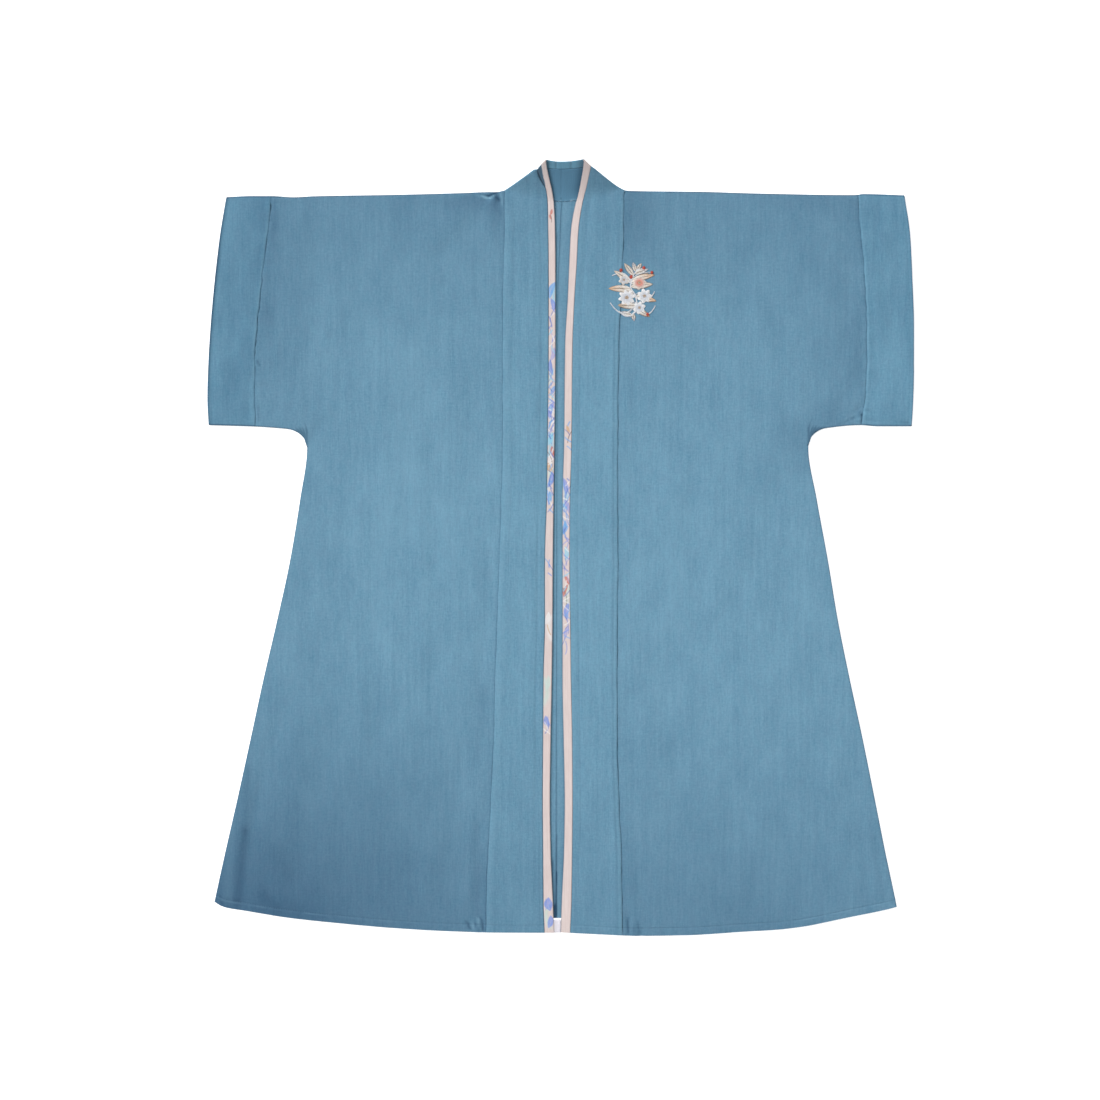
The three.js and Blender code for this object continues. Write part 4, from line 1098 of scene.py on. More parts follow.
def build_edging(half, cloth, material):
    wall = ClothWall(("seam", "dye", "facing", "print_colour"))
    column, row = np.meshgrid(EDGING_COLUMNS, EDGING_ROWS, indexing="ij")
    join_x, join_y = beside_join(half, row, *collar_line(half, row, "join"), -1)
    free_x, free_y = collar_line(half, row, "free")
    fx, fy = lerp(join_x, free_x, column), lerp(join_y, free_y, column)
    width = np.hypot(free_x - join_x, free_y - join_y)
    to_join, to_free = column * width, (1 - column) * width
    hem_y = fy - half.hem(fx)
    colours = printed_colours(half, column * width, fy, width)
    fold_depth = np.zeros_like(fx)
    if half is LEFT:
        fold_depth = smoothstep(pink_edge(fy) - fx, -0.3, 0.9) * smoothstep(fy, 483, 488)
        fy = fy - CORNER_SAG * smoothstep(-column, -0.75, 0) * (1 - smoothstep(row, 0, 0.03))
    fold_line = (fx[:, 0].copy(), fy[:, 0].copy())
    fx[:, 0], fy[:, 0] = inset_fold(half, *fold_line, cloth)

    back_column, step = np.meshgrid(EDGING_COLUMNS, BAND_BACK_STEPS, indexing="ij")
    join = collar_back_line(half, step, "join")
    free = collar_back_line(half, step, "free")
    bx = lerp(join[0], free[0], back_column)
    by = lerp(join[1] + SEAM_GAP / 2, free[1], back_column)
    if half is LEFT:
        by = by - CORNER_SAG * smoothstep(-back_column, -0.75, 0) * (1 - smoothstep(step, 0, 0.06))
    bx = np.where(step >= 1, COLLAR_BACK_X + half.out * SEAM_GAP / 2, bx)
    bx[:, 0], by[:, 0] = fx[:, 0], fy[:, 0]

    level = BODY_WALL + LAYER_GAP + EDGING_WALL - cloth / 2 - 0.5
    upper_z = level + front_lift(half, fx, fy, 0.5) + puckers(to_join, fy, 5, 0.15, 61)
    upper_z = upper_z + 0.15 * unevenness(fx, fy, 9, 34, 63)
    lower_z = EDGING_WALL - cloth / 2 + neck_rise(bx, by)
    tuck = bell(bx + 6, 1.6) + bell(bx - 14, 1.8) + 0.5 * unevenness(bx, by, 9, 20, 65)
    lower_z = lower_z - 0.8 * tuck * smoothstep(step, 0.05, 0.3)
    edges = 1 - 0.85 * bell(to_join, 0.5) - 0.75 * bell(to_free, 0.55) - 0.5 * bell(hem_y, 0.5)
    # Painted shade along the join and the rolled free edge, and along the edge of the fold near the peak.
    free_edge_shade = 0.35 if half is LEFT else 0.75
    line = 0.6 * bell(to_join, 0.6) + free_edge_shade * bell(to_free, 0.7)
    line = line + 0.3 * bell(fold_depth - 0.5, 0.4) * (fold_depth > 0)
    upper = wall.add(
        fx,
        fy,
        upper_z - 1.2 * fold_depth,
        cloth * np.clip(edges, 0.12, 1),
        print_colour=colours,
        facing=fold_depth,
        seam=np.clip(line + TURNED_SHADE * fold_depth, 0, 1),
    )
    back_join, back_free = back_column * width[:, :1], (1 - back_column) * width[:, :1]
    back_edges = 1 - 0.8 * bell(back_join, 0.5) - 0.75 * bell(back_free, 0.5)
    plain = plain_edging()
    facing = smoothstep(step, 0.02, 0.05)
    # Its back: dark seam lines, painted shade beside the strips and painted shade in the tucks.
    inner_line = 0.3 * bell(back_join - 1.0, 0.8) + 0.1 * bell(bx - COLLAR_BACK_X, 0.9)
    lower = wall.add(
        bx,
        by,
        lower_z,
        cloth * np.clip(back_edges, 0.15, 1),
        print_colour=plain,
        facing=facing,
        seam=np.clip(inner_line + strip_shade(bx, by) + 0.42 * tuck, 0, 1) * facing,
    )
    wall.fill(upper)
    wall.fill(lower)
    fold_over_shoulder(
        wall,
        half,
        fold_line,
        upper_z[:, 0],
        lower_z[:, 0],
        upper[:, 0],
        lower[:, 0],
        cloth,
        print_colour=plain,
        facing=fold_depth[:, 0],
        seam=TURNED_SHADE * fold_depth[:, 0],
    )
    if half is LEFT:
        add_tail(wall, upper, fx, fy, upper_z, cloth)
    return wall.build(f"edging_cloth_{half.name}", material)


def add_tail(wall, upper, fx, fy, upper_z, cloth):
    """The left edging's turned-in tail, which reaches the right edging just above the hem."""
    rows = np.nonzero(fy[-1] < LEFT.hem(fx[-1]) + TAIL_TOP)[0]
    x, y = fx[-1, rows], fy[-1, rows]
    reach = RIGHT.line["free"](y) - SEAM_GAP - x
    lines = [upper[-1, rows]]
    for share in (0.12, 0.3, 0.6, 0.85, 1):
        sunk = 0.9 * smoothstep(share, 0, 0.25)
        rounded = np.clip(1 - 0.7 * bell(y - y.max(), 0.8) - 0.7 * bell(y - y.min(), 0.8), 0.2, 1)
        z = upper_z[-1, rows] - sunk
        lines.append(
            wall.add(x + reach * share, y, z, cloth * rounded * 0.8, print_colour=linear(0.93, 0.915, 0.95))
        )
    wall.fill(np.stack(lines))


# Print on the edging -----------------------------------------------------------------------------


def linear(*srgb):
    """A colour for the shader from the red, green and blue of a screen."""
    return tuple(c / 12.92 if c <= 0.04045 else ((c + 0.055) / 1.055) ** 2.4 for c in srgb)


def plain_edging():
    return np.array(tuple(bpy.context.scene.hanfu_trim.edging_colour)[:3])


INKS = {
    "blue": linear(0.44, 0.58, 0.90),
    "deep": linear(0.30, 0.45, 0.80),
    "sky": linear(0.38, 0.68, 0.93),
    "cyan": linear(0.55, 0.83, 0.93),
    "lilac": linear(0.66, 0.67, 0.88),
    "mint": linear(0.81, 0.89, 0.86),
    "white": linear(0.96, 0.95, 0.95),
    "ochre": linear(0.84, 0.67, 0.48),
    "coral": linear(0.80, 0.35, 0.27),
    "brown": linear(0.45, 0.33, 0.33),
}
# Printed motifs, the first ones lowest in the print: kind, y, place across (0 to 1), length, width, lean, ink
MOTIFS = {
    "left": [
        ("wash", 344, 0.7, 30, 5, 84, "cyan"),
        ("wash", 240, 0.3, 46, 6, 96, "mint"),
        ("wash", 186, 0.5, 44, 8, 88, "white"),
        ("wash", 140, 0.6, 40, 7, 90, "cyan"),
        ("wash", 112, 0.4, 30, 7, 92, "white"),
        ("wash", 92, 0.4, 40, 6, 84, "mint"),
        ("wash", -110, 0.5, 44, 7, 92, "white"),
        ("wash", -196, 0.5, 50, 7, 88, "mint"),
        ("wash", -500, 0.25, 40, 6, 90, "mint"),
        ("petal", 455, 0.55, 9, 4, 66, "coral"),
        ("petal", 448, 0.35, 8, 3, 118, "coral"),
        ("stroke", 446, 0.5, 11, 0.5, 96, "brown"),
        ("petal", 350, 0.35, 26, 8, 70, "sky"),
        ("petal", 330, 0.7, 18, 6, 104, "blue"),
        ("stroke", 318, 0.5, 26, 0.5, 66, "deep"),
        ("stroke", 292, 0.4, 30, 0.6, 108, "lilac"),
        ("stroke", 280, 0.6, 34, 0.5, 72, "blue"),
        ("petal", 262, 0.7, 20, 6, 74, "lilac"),
        ("petal", 244, 0.25, 22, 6, 102, "blue"),
        ("stroke", 236, 0.5, 40, 0.5, 80, "deep"),
        ("petal", 214, 0.7, 18, 5, 62, "sky"),
        ("stroke", 204, 0.5, 24, 0.5, 116, "ochre"),
        ("petal", 186, 0.3, 26, 7, 80, "blue"),
        ("petal", 168, 0.75, 20, 6, 108, "white"),
        ("stroke", 160, 0.5, 40, 0.6, 74, "deep"),
        ("petal", 146, 0.4, 22, 7, 66, "cyan"),
        ("petal", 130, 0.7, 16, 5, 100, "coral"),
        ("stroke", 122, 0.5, 30, 0.5, 112, "brown"),
        ("petal", 108, 0.3, 18, 7, 118, "ochre"),
        ("petal", 92, 0.65, 24, 7, 76, "blue"),
        ("stroke", 84, 0.4, 34, 0.6, 100, "deep"),
        ("petal", 68, 0.4, 22, 6, 96, "sky"),
        ("stroke", -22, 0.5, 12, 0.7, 88, "blue"),
        ("petal", -96, 0.4, 18, 7, 72, "white"),
        ("stroke", -112, 0.5, 16, 0.6, 108, "ochre"),
        ("petal", -184, 0.6, 22, 6, 82, "mint"),
        ("petal", -236, 0.4, 16, 7, 104, "blue"),
        ("stroke", -246, 0.6, 16, 0.6, 70, "deep"),
        ("petal", -484, 0.5, 19, 11, 96, "blue"),
        ("petal", -508, 0.7, 18, 8, 78, "blue"),
        ("stroke", -486, 0.4, 14, 0.5, 60, "lilac"),
    ],
    "right": [
        ("wash", 70, 0.5, 60, 6, 90, "cyan"),
        ("wash", -70, 0.4, 60, 6, 86, "mint"),
        ("petal", 160, 0.5, 13, 4, 76, "ochre"),
        ("stroke", 150, 0.4, 18, 0.6, 106, "brown"),
        ("petal", 84, 0.6, 24, 6, 80, "blue"),
        ("stroke", 72, 0.5, 36, 0.6, 104, "deep"),
        ("petal", 56, 0.3, 20, 6, 68, "lilac"),
        ("stroke", 42, 0.5, 40, 0.5, 82, "blue"),
        ("petal", 26, 0.65, 22, 7, 104, "sky"),
        ("stroke", 12, 0.5, 30, 0.6, 66, "deep"),
        ("petal", -8, 0.4, 20, 6, 86, "cyan"),
        ("stroke", -24, 0.6, 34, 0.5, 108, "lilac"),
        ("petal", -44, 0.35, 14, 5, 64, "coral"),
        ("petal", -58, 0.7, 18, 5, 110, "coral"),
        ("stroke", -66, 0.5, 26, 0.5, 78, "brown"),
        ("petal", -86, 0.5, 24, 7, 96, "blue"),
        ("stroke", -100, 0.4, 36, 0.6, 70, "deep"),
        ("petal", -116, 0.6, 18, 5, 102, "lilac"),
        ("stroke", -136, 0.5, 20, 0.5, 92, "blue"),
    ],
}


# Stretches of fine brush strokes: y of both ends, how many
BRUSHED = {
    "left": [
        (322, 268, 8),
        (236, 196, 10),
        (204, 150, 18),
        (128, 100, 7),
        (88, 48, 9),
        (-20, -36, 3),
        (-236, -250, 3),
    ],
    "right": [(168, 134, 4), (92, 40, 14), (40, -30, 14), (-30, -128, 16)],
}
BRUSH_INKS = ("deep", "blue", "sky", "white", "cyan", "deep", "sky", "lilac", "white")


def brush_strokes(half):
    """Fine strokes scattered over their stretches of the edging."""
    scatter = np.random.default_rng(17 if half is LEFT else 18)
    strokes = []
    for high, low, count in BRUSHED[half.name]:
        for at in np.linspace(high, low, count):
            place, lean = scatter.uniform(0.15, 0.85), scatter.choice((1, -1)) * scatter.uniform(12, 62) + 90
            length, wide = scatter.uniform(7, 17), scatter.uniform(0.45, 0.85)
            strokes.append(("stroke", at, place, length, wide, lean, str(scatter.choice(BRUSH_INKS))))
    return strokes


def printed_colours(half, across, y, width):
    """Colours of the printed cloth: petals, washes and drawn lines on a plain ground."""
    colours = np.broadcast_to(plain_edging(), (*across.shape, 3)).copy()
    motifs = MOTIFS[half.name] + brush_strokes(half)
    for number, (kind, at, place, length, wide, lean, ink) in enumerate(motifs):
        turn = math.radians(lean)
        dx, dy = across - place * width, y - at
        u = dx * math.cos(turn) + dy * math.sin(turn)
        v = -dx * math.sin(turn) + dy * math.cos(turn)
        v = v - 0.018 * u * u * (1 if number % 2 else -1) + 0.4 * unevenness(u, v, 7, 5, 71 + number)
        span = np.clip(1 - (2 * u / length) ** 2, -1, 1)
        if kind == "wash":
            weight = 0.75 * smoothstep(span, 0, 0.5) * bell(v, wide / 2)
        elif kind == "petal":
            inside = 1 - smoothstep(np.abs(v) - wide / 2 * span, -0.35, 0.35)
            vein = bell(v, 0.35) * smoothstep(span, 0.2, 0.5)
            weight = 0.92 * inside * (1 - 0.4 * vein) * (0.9 + 0.1 * unevenness(u, v, 3, 1.5, 33))
        else:
            weight = 0.9 * bell(v, wide) * smoothstep(span, 0, 0.3)
        colours = lerp(colours, np.array(INKS[ink]), weight[..., None])
    return colours


# Embroidered spray -------------------------------------------------------------------------------

SPRAY_X, SPRAY_Y = 99, 347
SPRAY_STEM = [(-4, -33, 0.8), (5, -22, 1.1), (3, -7, 1.2), (-4, 7, 1.2), (-1, 20, 1.0), (6, 31, 0.7)]
# Flowers: x, y, radius, petals, turn, heart's radius, place on the stem, colours of their threads
SPRAY_FLOWERS = [
    (8, -22, 9, 6, 20, 2.2, 0.18, ("pearl", "white")),
    (-13, 16, 7.5, 6, 20, 2.0, 0.68, ("pearl", "cream")),
    (8, 12, 10, 7, 5, 2.6, 0.66, ("coral", "cream")),
    (15, -6, 10.5, 7, 0, 2.6, 0.45, ("pearl", "white")),
    (-9, -8, 12, 8, 12, 3.0, 0.3, ("pearl", "white")),
]
# Leaves: place on the stem, length, width, turn, tint
SPRAY_LEAVES = [
    (0.03, 16, 6, 168, "pearl"),
    (0.06, 10, 5, -80, "pearl"),
    (0.17, 20, 7, -30, "tan"),
    (0.24, 26, 8.5, 178, "tan"),
    (0.42, 29, 8.5, -14, "orange"),
    (0.46, 27, 8.5, 158, "tan"),
    (0.56, 30, 9, 180, "orange"),
    (0.6, 30, 9, 6, "beige"),
    (0.66, 27, 8.5, 30, "tan"),
    (0.7, 27, 8, 148, "beige"),
    (0.74, 31, 7.5, 12, "orange"),
    (0.84, 20, 7, 128, "beige"),
    (0.88, 19, 6.5, 18, "pearl"),
    (0.93, 13, 5.5, 108, "pearl"),
    (0.99, 9, 5, 58, "beige"),
]
# Berries: x, y, radius, place on the stem
SPRAY_BERRIES = [
    (19, -31, 2.4, 0.12),
    (25, 26, 2.2, 0.78),
    (14, 32, 2.4, 0.9),
    (-17, 29, 2.4, 0.74),
    (-3, 20, 2.6, 0.76),
]
# Tendrils: end, place on the stem, bow
SPRAY_TENDRILS = [
    (-31, -16, 0.3, 4),
    (-19, -27, 0.12, 3),
    (29, -20, 0.2, -4),
    (28, -1, 0.4, -3),
    (-28, 22, 0.66, -3),
]
THREAD_WIDTH, EDGE_THREAD_WIDTH = 0.6, 0.45
THREAD_COLOURS = {
    "cream": linear(0.95, 0.93, 0.90),
    "white": linear(0.99, 0.99, 0.99),
    # pearl, a bluish grey, is painted shade at the base of white petals, and a thread colour in leaves and
    # the stem.
    "pearl": linear(0.80, 0.83, 0.88),
    "beige": linear(0.88, 0.82, 0.76),
    "tan": linear(0.78, 0.66, 0.53),
    "orange": linear(0.89, 0.71, 0.55),
    "coral": linear(0.88, 0.48, 0.40),
    "red": linear(0.72, 0.18, 0.16),
    "taupe": linear(0.52, 0.46, 0.44),
}


def spray_base(x, y):
    """Top of what the spray is sewn to: the band on one side of its seam, the body on the other."""
    to_band = smoothstep(RIGHT.seam(y) - x, -5, 3)
    level = lerp(BODY_WALL, BAND_WALL, to_band) + BODY_WALL + LAYER_GAP
    return level + front_lift(RIGHT, x, y)


def stem_points(shares):
    """Points on the spray's stem, by a smooth curve through its table."""
    table = np.array(SPRAY_STEM, float)
    knots = np.linspace(0, 1, len(table))
    x, y, half = (smooth_line(knots, table[:, k])(shares) for k in range(3))
    return x, y, half


class Threads:
    """Satin and stem stitches gathered into one mesh, each a flattened round thread."""

    SIDES = 6
    FLATNESS = 0.36  # height of a thread as a share of its width, to each side

    def __init__(self):
        self.points, self.faces, self.colours, self.count = [], [], [], 0

    def lay(self, x, y, height, width, colours):
        """Adds threads: one row of stations each, at heights over the cloth; colours run along them."""
        x, y = x + SPRAY_X, y + SPRAY_Y
        z = spray_base(x, y) + height
        middle = np.stack([x, y, z], -1)
        along = np.gradient(middle, axis=1)
        along /= np.maximum(np.linalg.norm(along, axis=-1, keepdims=True), 1e-9)
        across = np.cross(np.array([0, 0, 1.0]), along)
        across /= np.maximum(np.linalg.norm(across, axis=-1, keepdims=True), 1e-9)
        up = np.cross(along, across)
        taper = np.sqrt(np.clip(1 - np.abs(np.linspace(-1, 1, x.shape[1])) ** 6, 0.12, 1))[None, :, None]
        rings = []
        for k in range(self.SIDES):
            angle = 2 * math.pi * k / self.SIDES
            side = across * (math.cos(angle) * width / 2) * taper
            rise = up * (math.sin(angle) * width * self.FLATNESS) * taper
            rings.append(middle + side + rise)
        number = self.count + np.arange(x.size * self.SIDES).reshape(*x.shape, self.SIDES)
        ends = np.concatenate([number[:, 0, ::-1], number[:, -1]])
        self.points.append(np.stack(rings, axis=2).reshape(-1, 3))
        self.faces += tube_faces(number) + ends.tolist()
        colours = np.broadcast_to(np.asarray(colours, float), (*x.shape, 3))
        self.colours.append(np.repeat(colours[:, :, None], self.SIDES, axis=2).reshape(-1, 3))
        self.count += number.size

    def build(self, name, material):
        marks = {"thread_colour": np.concatenate(self.colours)}
        return make_piece(name, np.concatenate(self.points), self.faces, material, marks)


def fade(first, second, share):
    """Colours from one thread to another along a share of any shape."""
    a, b = np.array(THREAD_COLOURS[first]), np.array(THREAD_COLOURS[second])
    return lerp(a, b, share[..., None])


def sew_leaf(threads, place, length, width, turn, tint):
    """Satin threads from the midrib out to both edges of a leaf, slanted towards its tip."""
    ox, oy, _ = (float(v) for v in stem_points(place))
    count = int(length / 0.55)
    start = np.linspace(0.02, 0.9, count)[:, None]
    share = np.linspace(0, 1, 6)[None, :]
    angle = math.radians(turn)
    for side in (-1, 1):
        at = np.clip(start + 0.10 * share, 0, 1)
        half = 0.5 * width * np.sin(math.pi * np.clip(at, 0, 1) ** 0.85) ** 0.8
        u, v = at * length, side * share * half
        u = u + 0.35 * unevenness(start * 40, share * 0 + side, 1, 1, 5)
        x, y = ox + u * math.cos(angle) - v * math.sin(angle), oy + u * math.sin(angle) + v * math.cos(angle)
        bulge = np.sin(math.pi * (0.12 + 0.8 * share))
        height = 0.25 + 0.85 * bulge * np.sin(math.pi * np.clip(at, 0.06, 0.94)) ** 0.4
        colours = fade("cream", tint, np.clip(1.6 * at - 0.75 + 0.25 * share, 0, 1))
        threads.lay(x, y, height, 0.62, colours)
    sew_edge(threads, (ox, oy), length, width, angle)


def sew_edge(threads, root, length, width, angle):
    """A fine dark thread round a leaf and along its midrib."""
    at = np.linspace(0.02, 1, 14)[None, :]
    half = 0.5 * width * np.sin(math.pi * at**0.85) ** 0.8 + 0.1
    for side, rise in ((-1, 0.35), (0, 1.15), (1, 0.35)):
        u, v = at * length * (1.02 if side else 0.85), side * half
        x = root[0] + u * math.cos(angle) - v * math.sin(angle)
        y = root[1] + u * math.sin(angle) + v * math.cos(angle)
        threads.lay(x, y, rise + 0 * x, EDGE_THREAD_WIDTH, fade("taupe", "tan", 0.3 + 0 * x))


def sew_flower(threads, x0, y0, radius, petals, turn, heart, tints):
    """Petals of satin threads that fan out from the heart, and a heart of knots."""
    base, tip = tints
    width = 1.2 * radius * math.pi / petals
    for petal in range(petals):
        angle = math.radians(turn + 360 * petal / petals)
        lanes = np.linspace(-1, 1, max(7, int(width / 0.5)))[:, None]
        share = np.linspace(0.08, 1, 7)[None, :]
        reach = radius * np.sqrt(np.clip(1 - (0.62 * np.abs(lanes)) ** 2.4, 0.2, 1))
        u = share * reach
        v = 0.5 * width * lanes * np.sin(math.pi * np.clip(0.12 + 0.66 * share, 0, 1)) ** 0.9
        x = x0 + u * math.cos(angle) - v * math.sin(angle)
        y = y0 + u * math.sin(angle) + v * math.cos(angle)
        height = 0.35 + 1.3 * np.sin(math.pi * np.clip(0.1 + 0.82 * share, 0, 1)) * (1 - 0.55 * lanes**2)
        # Petals start in their first colour at the heart; where that is pearl, it is painted shade between
        # the petals.
        colours = fade(base, tip, np.clip(1.4 * share - 0.2 + 0 * lanes, 0, 1))
        threads.lay(x, y, height, THREAD_WIDTH, colours)
    sew_knots(threads, x0, y0, heart, 1.9, "tan")


def sew_knots(threads, x0, y0, radius, height, tint):
    """A cluster of small looped knots."""
    golden = math.radians(137.5)
    count = max(5, int(radius * radius * 1.6))
    for k in range(count):
        away = radius * 0.86 * math.sqrt((k + 0.5) / count)
        x, y = x0 + away * math.cos(k * golden), y0 + away * math.sin(k * golden)
        loop = np.linspace(0, 2 * math.pi, 8)[None, :]
        rise = height * (1 - 0.3 * (away / radius) ** 2)
        shade = fade(tint, "beige", np.full((1, 8), 0.25 + 0.25 * (k % 3)))
        threads.lay(x + 0.42 * np.cos(loop), y + 0.42 * np.sin(loop), rise + 0 * loop, THREAD_WIDTH, shade)


def sew_berry(threads, x0, y0, radius):
    """A padded dot of parallel threads."""
    lanes = np.linspace(-0.92, 0.92, int(2 * radius / 0.5))[:, None]
    half = radius * np.sqrt(1 - lanes**2)
    share = np.linspace(-1, 1, 7)[None, :]
    height = 0.3 + 1.6 * np.sqrt(np.clip(1 - (share * np.sqrt(1 - lanes**2)) ** 2 - lanes**2, 0, 1))
    colours = fade("coral", "red", 0.6 + 0 * height)
    threads.lay(x0 + share * half, y0 + radius * lanes + 0 * share, height, THREAD_WIDTH, colours)


def sew_stem(threads, points, spread):
    """Short slanting stitches that overlap along a stem or twig."""
    x, y, half = points
    dx, dy = np.gradient(x), np.gradient(y)
    length = np.hypot(dx, dy)
    tx, ty = (dx / length)[:, None], (dy / length)[:, None]
    share = np.linspace(-1, 1, 5)[None, :]
    reach = 1.5
    for side in (-1, 1):
        off = half[:, None] * spread * (0.45 * share + 0.3 * side)
        px = x[:, None] + tx * share * reach - ty * off
        py = y[:, None] + ty * share * reach + tx * off
        height = 0.45 + 0.5 * (1 - share**2)
        threads.lay(px, py, height, THREAD_WIDTH, fade("white", "pearl", 0.5 + 0.4 * side + 0 * px))


def sew_twig(threads, x1, y1, place, bow=1.0, half=0.55):
    x0, y0, _ = (float(v) for v in stem_points(place))
    share = np.linspace(0, 1, max(4, int(math.hypot(x1 - x0, y1 - y0) / 1.2)))
    bend = 0.4 * bow * share * (1 - share)
    x = lerp(x0, x1, share) - (y1 - y0) * bend
    y = lerp(y0, y1, share) + (x1 - x0) * bend
    sew_stem(threads, (x, y, half * (1 - 0.5 * share)), 1.0)


# Stitches ----------------------------------------------------------------------------------------


STITCH_LENGTH, STITCH_GAP = 2.4, 0.9
STITCH_SIDES = 5  # points round a stitch, and rings along it


def running_stitches(x, y, surface, width, name, material):
    """Short threads along a line of the plan, laid on a surface that is a height over the floor."""
    profile = np.linspace(0, 1, STITCH_SIDES)
    length = np.concatenate([[0], np.cumsum(np.hypot(np.diff(x), np.diff(y)))])
    starts = np.arange(0, length[-1] - STITCH_LENGTH, STITCH_LENGTH + STITCH_GAP)[:, None]
    at = starts + profile[None, :] * STITCH_LENGTH
    px, py = np.interp(at, length, x), np.interp(at, length, y)
    pz = surface(px, py) + width * (0.9 * np.sin(math.pi * profile) - 0.35)[None, :]
    along = np.stack([np.gradient(px, axis=1), np.gradient(py, axis=1)], -1)
    along /= np.maximum(np.linalg.norm(along, axis=-1, keepdims=True), 1e-9)
    rings = []
    for k in range(STITCH_SIDES):
        angle = 2 * math.pi * k / STITCH_SIDES
        side, rise = math.cos(angle) * width / 2, math.sin(angle) * width / 2
        rings.append(np.stack([px - along[..., 1] * side, py + along[..., 0] * side, pz + rise], -1))
    rings = np.stack(rings, axis=2)
    number = np.arange(rings.size // 3).reshape(rings.shape[:3])
    return make_piece(name, rings.reshape(-1, 3), tube_faces(number), material)


# Materials ---------------------------------------------------------------------------------------


class Nodes:
    """A material and short ways to add its nodes."""

    def __init__(self, name):
        self.material = bpy.data.materials.new(name)
        self.material.use_nodes = True
        self.tree = self.material.node_tree
        self.shader = self.tree.nodes["Principled BSDF"]

    def add(self, kind, inputs=None, **settings):
        node = self.tree.nodes.new(kind)
        for key, value in settings.items():
            setattr(node, key, value)
        for key, value in (inputs or {}).items():
            if isinstance(value, bpy.types.NodeSocket):
                self.tree.links.new(value, node.inputs[key])
            else:
                node.inputs[key].default_value = value
        return node

    def value(self, operation, *inputs):
        return self.add("ShaderNodeMath", dict(enumerate(inputs)), operation=operation).outputs[0]

    def plus(self, total, *parts):
        """A value with others added to it, each times its weight."""
        for part, weight in parts:
            total = self.value("ADD", total, self.value("MULTIPLY", part, weight))
        return total

    def spread(self, value, low, high, top=1.0):
        """A value drawn out from between low and high to between nought and top."""
        inputs = {"Value": value, "From Min": low, "From Max": high, "To Max": top}
        return self.add("ShaderNodeMapRange", inputs).outputs[0]

    def noise(self, coordinates, scale, detail=2.0):
        mapped = self.add("ShaderNodeMapping", {"Vector": coordinates, "Scale": scale}).outputs[0]
        return self.add("ShaderNodeTexNoise", {"Vector": mapped, "Scale": 1.0, "Detail": detail}).outputs[0]

    def blend(self, share, first, second):
        node = self.tree.nodes.new("ShaderNodeMix")
        node.data_type = "RGBA"
        for socket, value in ((node.inputs[0], share), (node.inputs[6], first), (node.inputs[7], second)):
            if isinstance(value, bpy.types.NodeSocket):
                self.tree.links.new(value, socket)
            else:
                socket.default_value = value
        return node.outputs[2]

    def mark(self, name, output="Fac"):
        return self.add("ShaderNodeAttribute", attribute_name=name).outputs[output]

    def finish(self, colour, height, distance, roughness, sheen, **sockets):
        bump = self.add("ShaderNodeBump", {"Height": height, "Strength": 1.0, "Distance": distance})
        self.tree.links.new(colour, self.shader.inputs["Base Color"])
        self.tree.links.new(bump.outputs[0], self.shader.inputs["Normal"])
        self.shader.inputs["Roughness"].default_value = roughness
        self.shader.inputs["Sheen Weight"].default_value = sheen
        self.shader.inputs["Sheen Roughness"].default_value = 0.5
        self.shader.inputs["Specular IOR Level"].default_value = 0.2
        for key, value in sockets.items():
            self.shader.inputs[key].default_value = value
        return self.material


def shade_of(colour, factor):
    return (*(c * factor for c in tuple(colour)[:3]), 1.0)


def tint_of(colour, red, green, blue):
    r, g, b = tuple(colour)[:3]
    return (r * red, g * green, b * blue, 1.0)


def weave_height(nodes, place, pitch):
    """Plain weave: threads over and under each other in both directions."""
    split = nodes.add("ShaderNodeSeparateXYZ", {"Vector": place})
    step = math.pi / (pitch * MM)
    across = nodes.value("SINE", nodes.value("MULTIPLY", split.outputs[0], step))
    along = nodes.value("SINE", nodes.value("MULTIPLY", split.outputs[1], step))
    return nodes.value("MULTIPLY", across, along)


